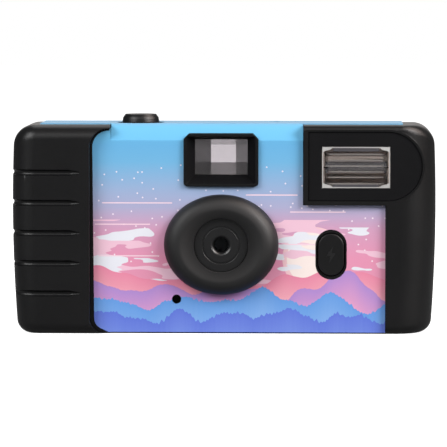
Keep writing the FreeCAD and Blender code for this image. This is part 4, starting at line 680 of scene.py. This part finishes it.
def roundedCopy(name, body, width, s):
    mesh = nodes[name].data.copy()
    shape = bmesh.new()
    shape.from_mesh(mesh)
    bmesh.ops.remove_doubles(shape, verts=shape.verts, dist=s["merge"] * mm)
    bmesh.ops.dissolve_limit(
        shape, angle_limit=radians(s["flat"]), verts=shape.verts, edges=shape.edges, delimit={"NORMAL"})
    for low, high, offset in softEdges.get(name, []):
        softenEdges(shape, low, high, offset, s)
    for face in shape.faces:
        face.smooth = True
    shape.to_mesh(mesh)
    shape.free()
    mesh.set_sharp_from_angle(angle=radians(s["sharp"]))
    piece = show(bpy.data.objects.new(name + "Rounded", mesh))
    if width:
        edge = piece.modifiers.new("edge", "BEVEL")
        edge.width, edge.segments = width * mm, s["edgeSegments"]
        edge.limit_method, edge.angle_limit = "ANGLE", radians(s["edgeAngle"])
        edge.harden_normals = True
    even = piece.modifiers.new("even", "WEIGHTED_NORMAL")
    even.keep_sharp = True
    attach(piece, body)
    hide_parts(name)
    return piece


dressed = {}
for name, (body, slotName, width) in roundedPieces.items():
    dressed[name] = roundedCopy(name, body, width, rounding)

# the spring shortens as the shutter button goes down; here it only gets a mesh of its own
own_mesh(dressed["shutter_spring"])
print("frame pieces dressed")


def flatMark(name, outlines, depths, material, body):
    # thin raised shapes in a plane across the camera; lengths in mm
    front, rear = depths
    shape = bmesh.new()
    for outline in outlines:
        face = shape.faces.new([shape.verts.new((x * mm, rear * mm, z * mm)) for x, z in outline])
        raised = bmesh.ops.extrude_face_region(shape, geom=[face])
        bmesh.ops.translate(
            shape, vec=(0, (front - rear) * mm, 0),
            verts=[part for part in raised["geom"] if isinstance(part, bmesh.types.BMVert)])
    bmesh.ops.recalc_face_normals(shape, faces=shape.faces)
    mesh = bpy.data.meshes.new(name)
    shape.to_mesh(mesh)
    shape.free()
    mesh.materials.append(material)
    piece = show(bpy.data.objects.new(name, mesh))
    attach(piece, body)


# plain bolt on the flash button; the corners are counted from its middle
boltMark = {
    "middle": (29.1, 21.6), "depths": (-10.97, -10.85),
    "corners": [(0.55, 2.3), (-1.2, -0.3), (-0.15, -0.3), (-0.55, -2.3), (1.2, 0.35), (0.15, 0.35)],
}
boltX, boltZ = boltMark["middle"]
flatMark(
    "flashBolt", [[(boltX + x, boltZ + z) for x, z in boltMark["corners"]]], boltMark["depths"],
    finishes["discBlack"], "flash_key")


# on the flash window: a painted highlight along the lip and its corner facets, painted grey shade bars,
# painted highlights on the rib crests, and the tube's dark ends
flashLip = {
    "left": 26.6, "right": 45.0, "foot": 39.7, "top": 50.9, "depths": (-11.58, -11.5),
    "outer": 0.06, "inner": 0.30, "facet": [(0.3, 0.3), (2.8, 0.3), (2.2, 0.8), (0.9, 1.1), (0.3, 1.5)],
    # from, to and half thickness of a tube end, counted from the window's side
    "tubeEnd": (0.45, 1.7, 0.14), "tubeDepths": (-11.53, -11.5),
    # heights of the ribs' crests and their ends, counted from the window's middle
    "ribs": [3.6, 1.95, 0.4, -1.15, -2.65, -4.4], "ribReach": (-7.9, 7.7), "ribHalf": 0.15,
    "ribPoint": 1.2, "ribDepths": (-11.52, -11.5),
    # side, from and to, counted from that side, and the inset of both ends
    "rimBars": [("top", 0.38, 1.22, 3.0), ("foot", 0.38, 1.0, 3.0)],
}


# painted highlight: bars along the window's lip and facets at its corners
def lipOutlines(s):
    corners = [
        (s["left"], s["foot"], 1, 1), (s["right"], s["foot"], -1, 1),
        (s["right"], s["top"], -1, -1), (s["left"], s["top"], 1, -1)]
    bars = []
    for first, second in zip(corners, corners[1:] + corners[:1]):
        bars.append([
            (x + right * inset, z + up * inset)
            for (x, z, right, up), inset in (
                (first, s["outer"]), (second, s["outer"]), (second, s["inner"]), (first, s["inner"]))])
    facets = [[(x + right * u, z + up * v) for u, v in s["facet"]] for x, z, right, up in corners]
    return bars + facets


def tubeOutlines(s):
    near, far, thin = s["tubeEnd"]
    middle = (s["foot"] + s["top"]) / 2
    return [
        [(x + side * u, middle + v) for u, v in ((near, -thin), (far, -thin), (far, thin), (near, thin))]
        for x, side in ((s["left"], 1), (s["right"], -1))]


def ribOutlines(s):
    # each painted highlight on a crest is drawn out to a point at its ends
    middleX, middleZ = (s["left"] + s["right"]) / 2, (s["foot"] + s["top"]) / 2
    (near, far), half, point = s["ribReach"], s["ribHalf"], s["ribPoint"]
    crest = [
        (near, 0), (near + point, half), (far - point, half),
        (far, 0), (far - point, -half), (near + point, -half)]
    return [[(middleX + u, middleZ + rise + v) for u, v in crest] for rise in s["ribs"]]


def rimOutlines(s):
    # painted grey shade bars along the window's top and foot, between the corner facets
    outlines = []
    for side, near, far, inset in s["rimBars"]:
        inward = 1 if side == "foot" else -1
        left, right = s["left"] + inset, s["right"] - inset
        first, second = s[side] + inward * near, s[side] + inward * far
        outlines.append([(left, first), (right, first), (right, second), (left, second)])
    return outlines


for name, outlines, depths, finish, slotName in (
        ("flashRimBars", rimOutlines, "ribDepths", "ribShade", "clear_plastic"),
        ("flashRibs", ribOutlines, "ribDepths", "ribGlint", "clear_plastic"),
        ("flashLip", lipOutlines, "depths", "flashFrost", "clear_plastic"),
        ("flashTubeEnds", tubeOutlines, "tubeDepths", "deepBlack", "black_plastic")):
    flatMark(name, outlines(flashLip), flashLip[depths], finishes[finish], "camera")


# painted shadow: a dark strip on the cover along the grip, where the grip's edge shades it, wider at the foot
gripShadowStrip = {
    "footEnd": (-31.4, 0.4), "topEnd": (-30.9, 55.65), "depths": (-10.53, -10.5), "steps": 10,
    # corners as middle x, middle z, radius, first and last angle
    "footCorner": (-32.2, 4.1, 3.95, 249.0, 180.0), "topCorner": (-31.2, 50.7, 4.95, 180.0, 90.0),
    "widthFoot": 0.95, "widthTop": 0.5,
}


def shadowStripOutline(s):
    edge, inside = [], [s["footEnd"]]
    endX, topZ = s["topEnd"]
    footZ = s["footEnd"][1]
    for middleX, middleZ, radius, first, last in (s["footCorner"], s["topCorner"]):
        for step in range(s["steps"] + 1):
            angle = radians(first + (last - first) * step / s["steps"])
            z = middleZ + radius * sin(angle)
            rise = (z - footZ) / (topZ - footZ)
            inner = radius - s["widthFoot"] - (s["widthTop"] - s["widthFoot"]) * rise
            edge.append((middleX + radius * cos(angle), z))
            inside.append((middleX + inner * cos(angle), middleZ + inner * sin(angle)))
    edge.append((endX, topZ))
    inside.append((endX, topZ - s["widthTop"]))
    return edge + inside[::-1]


# painted shadow on the cover along the grip
flatMark(
    "gripShadowStrip", [shadowStripOutline(gripShadowStrip)], gripShadowStrip["depths"], finishes["deepBlack"], "camera")


# two digits of seven segments on the shot counter, read from the back
counterDigits = {
    "middle": (-0.8, 28.0), "depths": (12.66, 12.69), "rise": 4.4, "width": 2.4, "step": 3.6,
    "stroke": 0.5, "gap": 0.08, "shown": ["abged", "fgbc"],
}


def digitOutlines(s):
    half, tall, thin, gap = s["width"] / 2, s["rise"] / 2, s["stroke"] / 2, s["gap"]
    level = {"a": tall, "g": 0.0, "d": -tall}
    upright = {"b": (half, tall / 2), "c": (half, -tall / 2), "e": (-half, -tall / 2), "f": (-half, tall / 2)}
    outlines = []
    for place, segments in zip((-0.5, 0.5), s["shown"]):
        for segment in segments:
            if segment in level:
                x, z, reach = 0.0, level[segment], half - gap
                bar = [(-reach, 0), (thin - reach, thin), (reach - thin, thin), (reach, 0),
                       (reach - thin, -thin), (thin - reach, -thin)]
            else:
                (x, z), reach = upright[segment], tall / 2 - gap
                bar = [(0, -reach), (thin, thin - reach), (thin, reach - thin), (0, reach),
                       (-thin, reach - thin), (-thin, thin - reach)]
            centre = x + place * s["step"]
            outlines.append([(s["middle"][0] - centre - u, s["middle"][1] + z + v) for u, v in bar])
    return outlines


flatMark(
    "counterDigits", digitOutlines(counterDigits), counterDigits["depths"], finishes["chipBlack"],
    "camera")
print("marks placed")
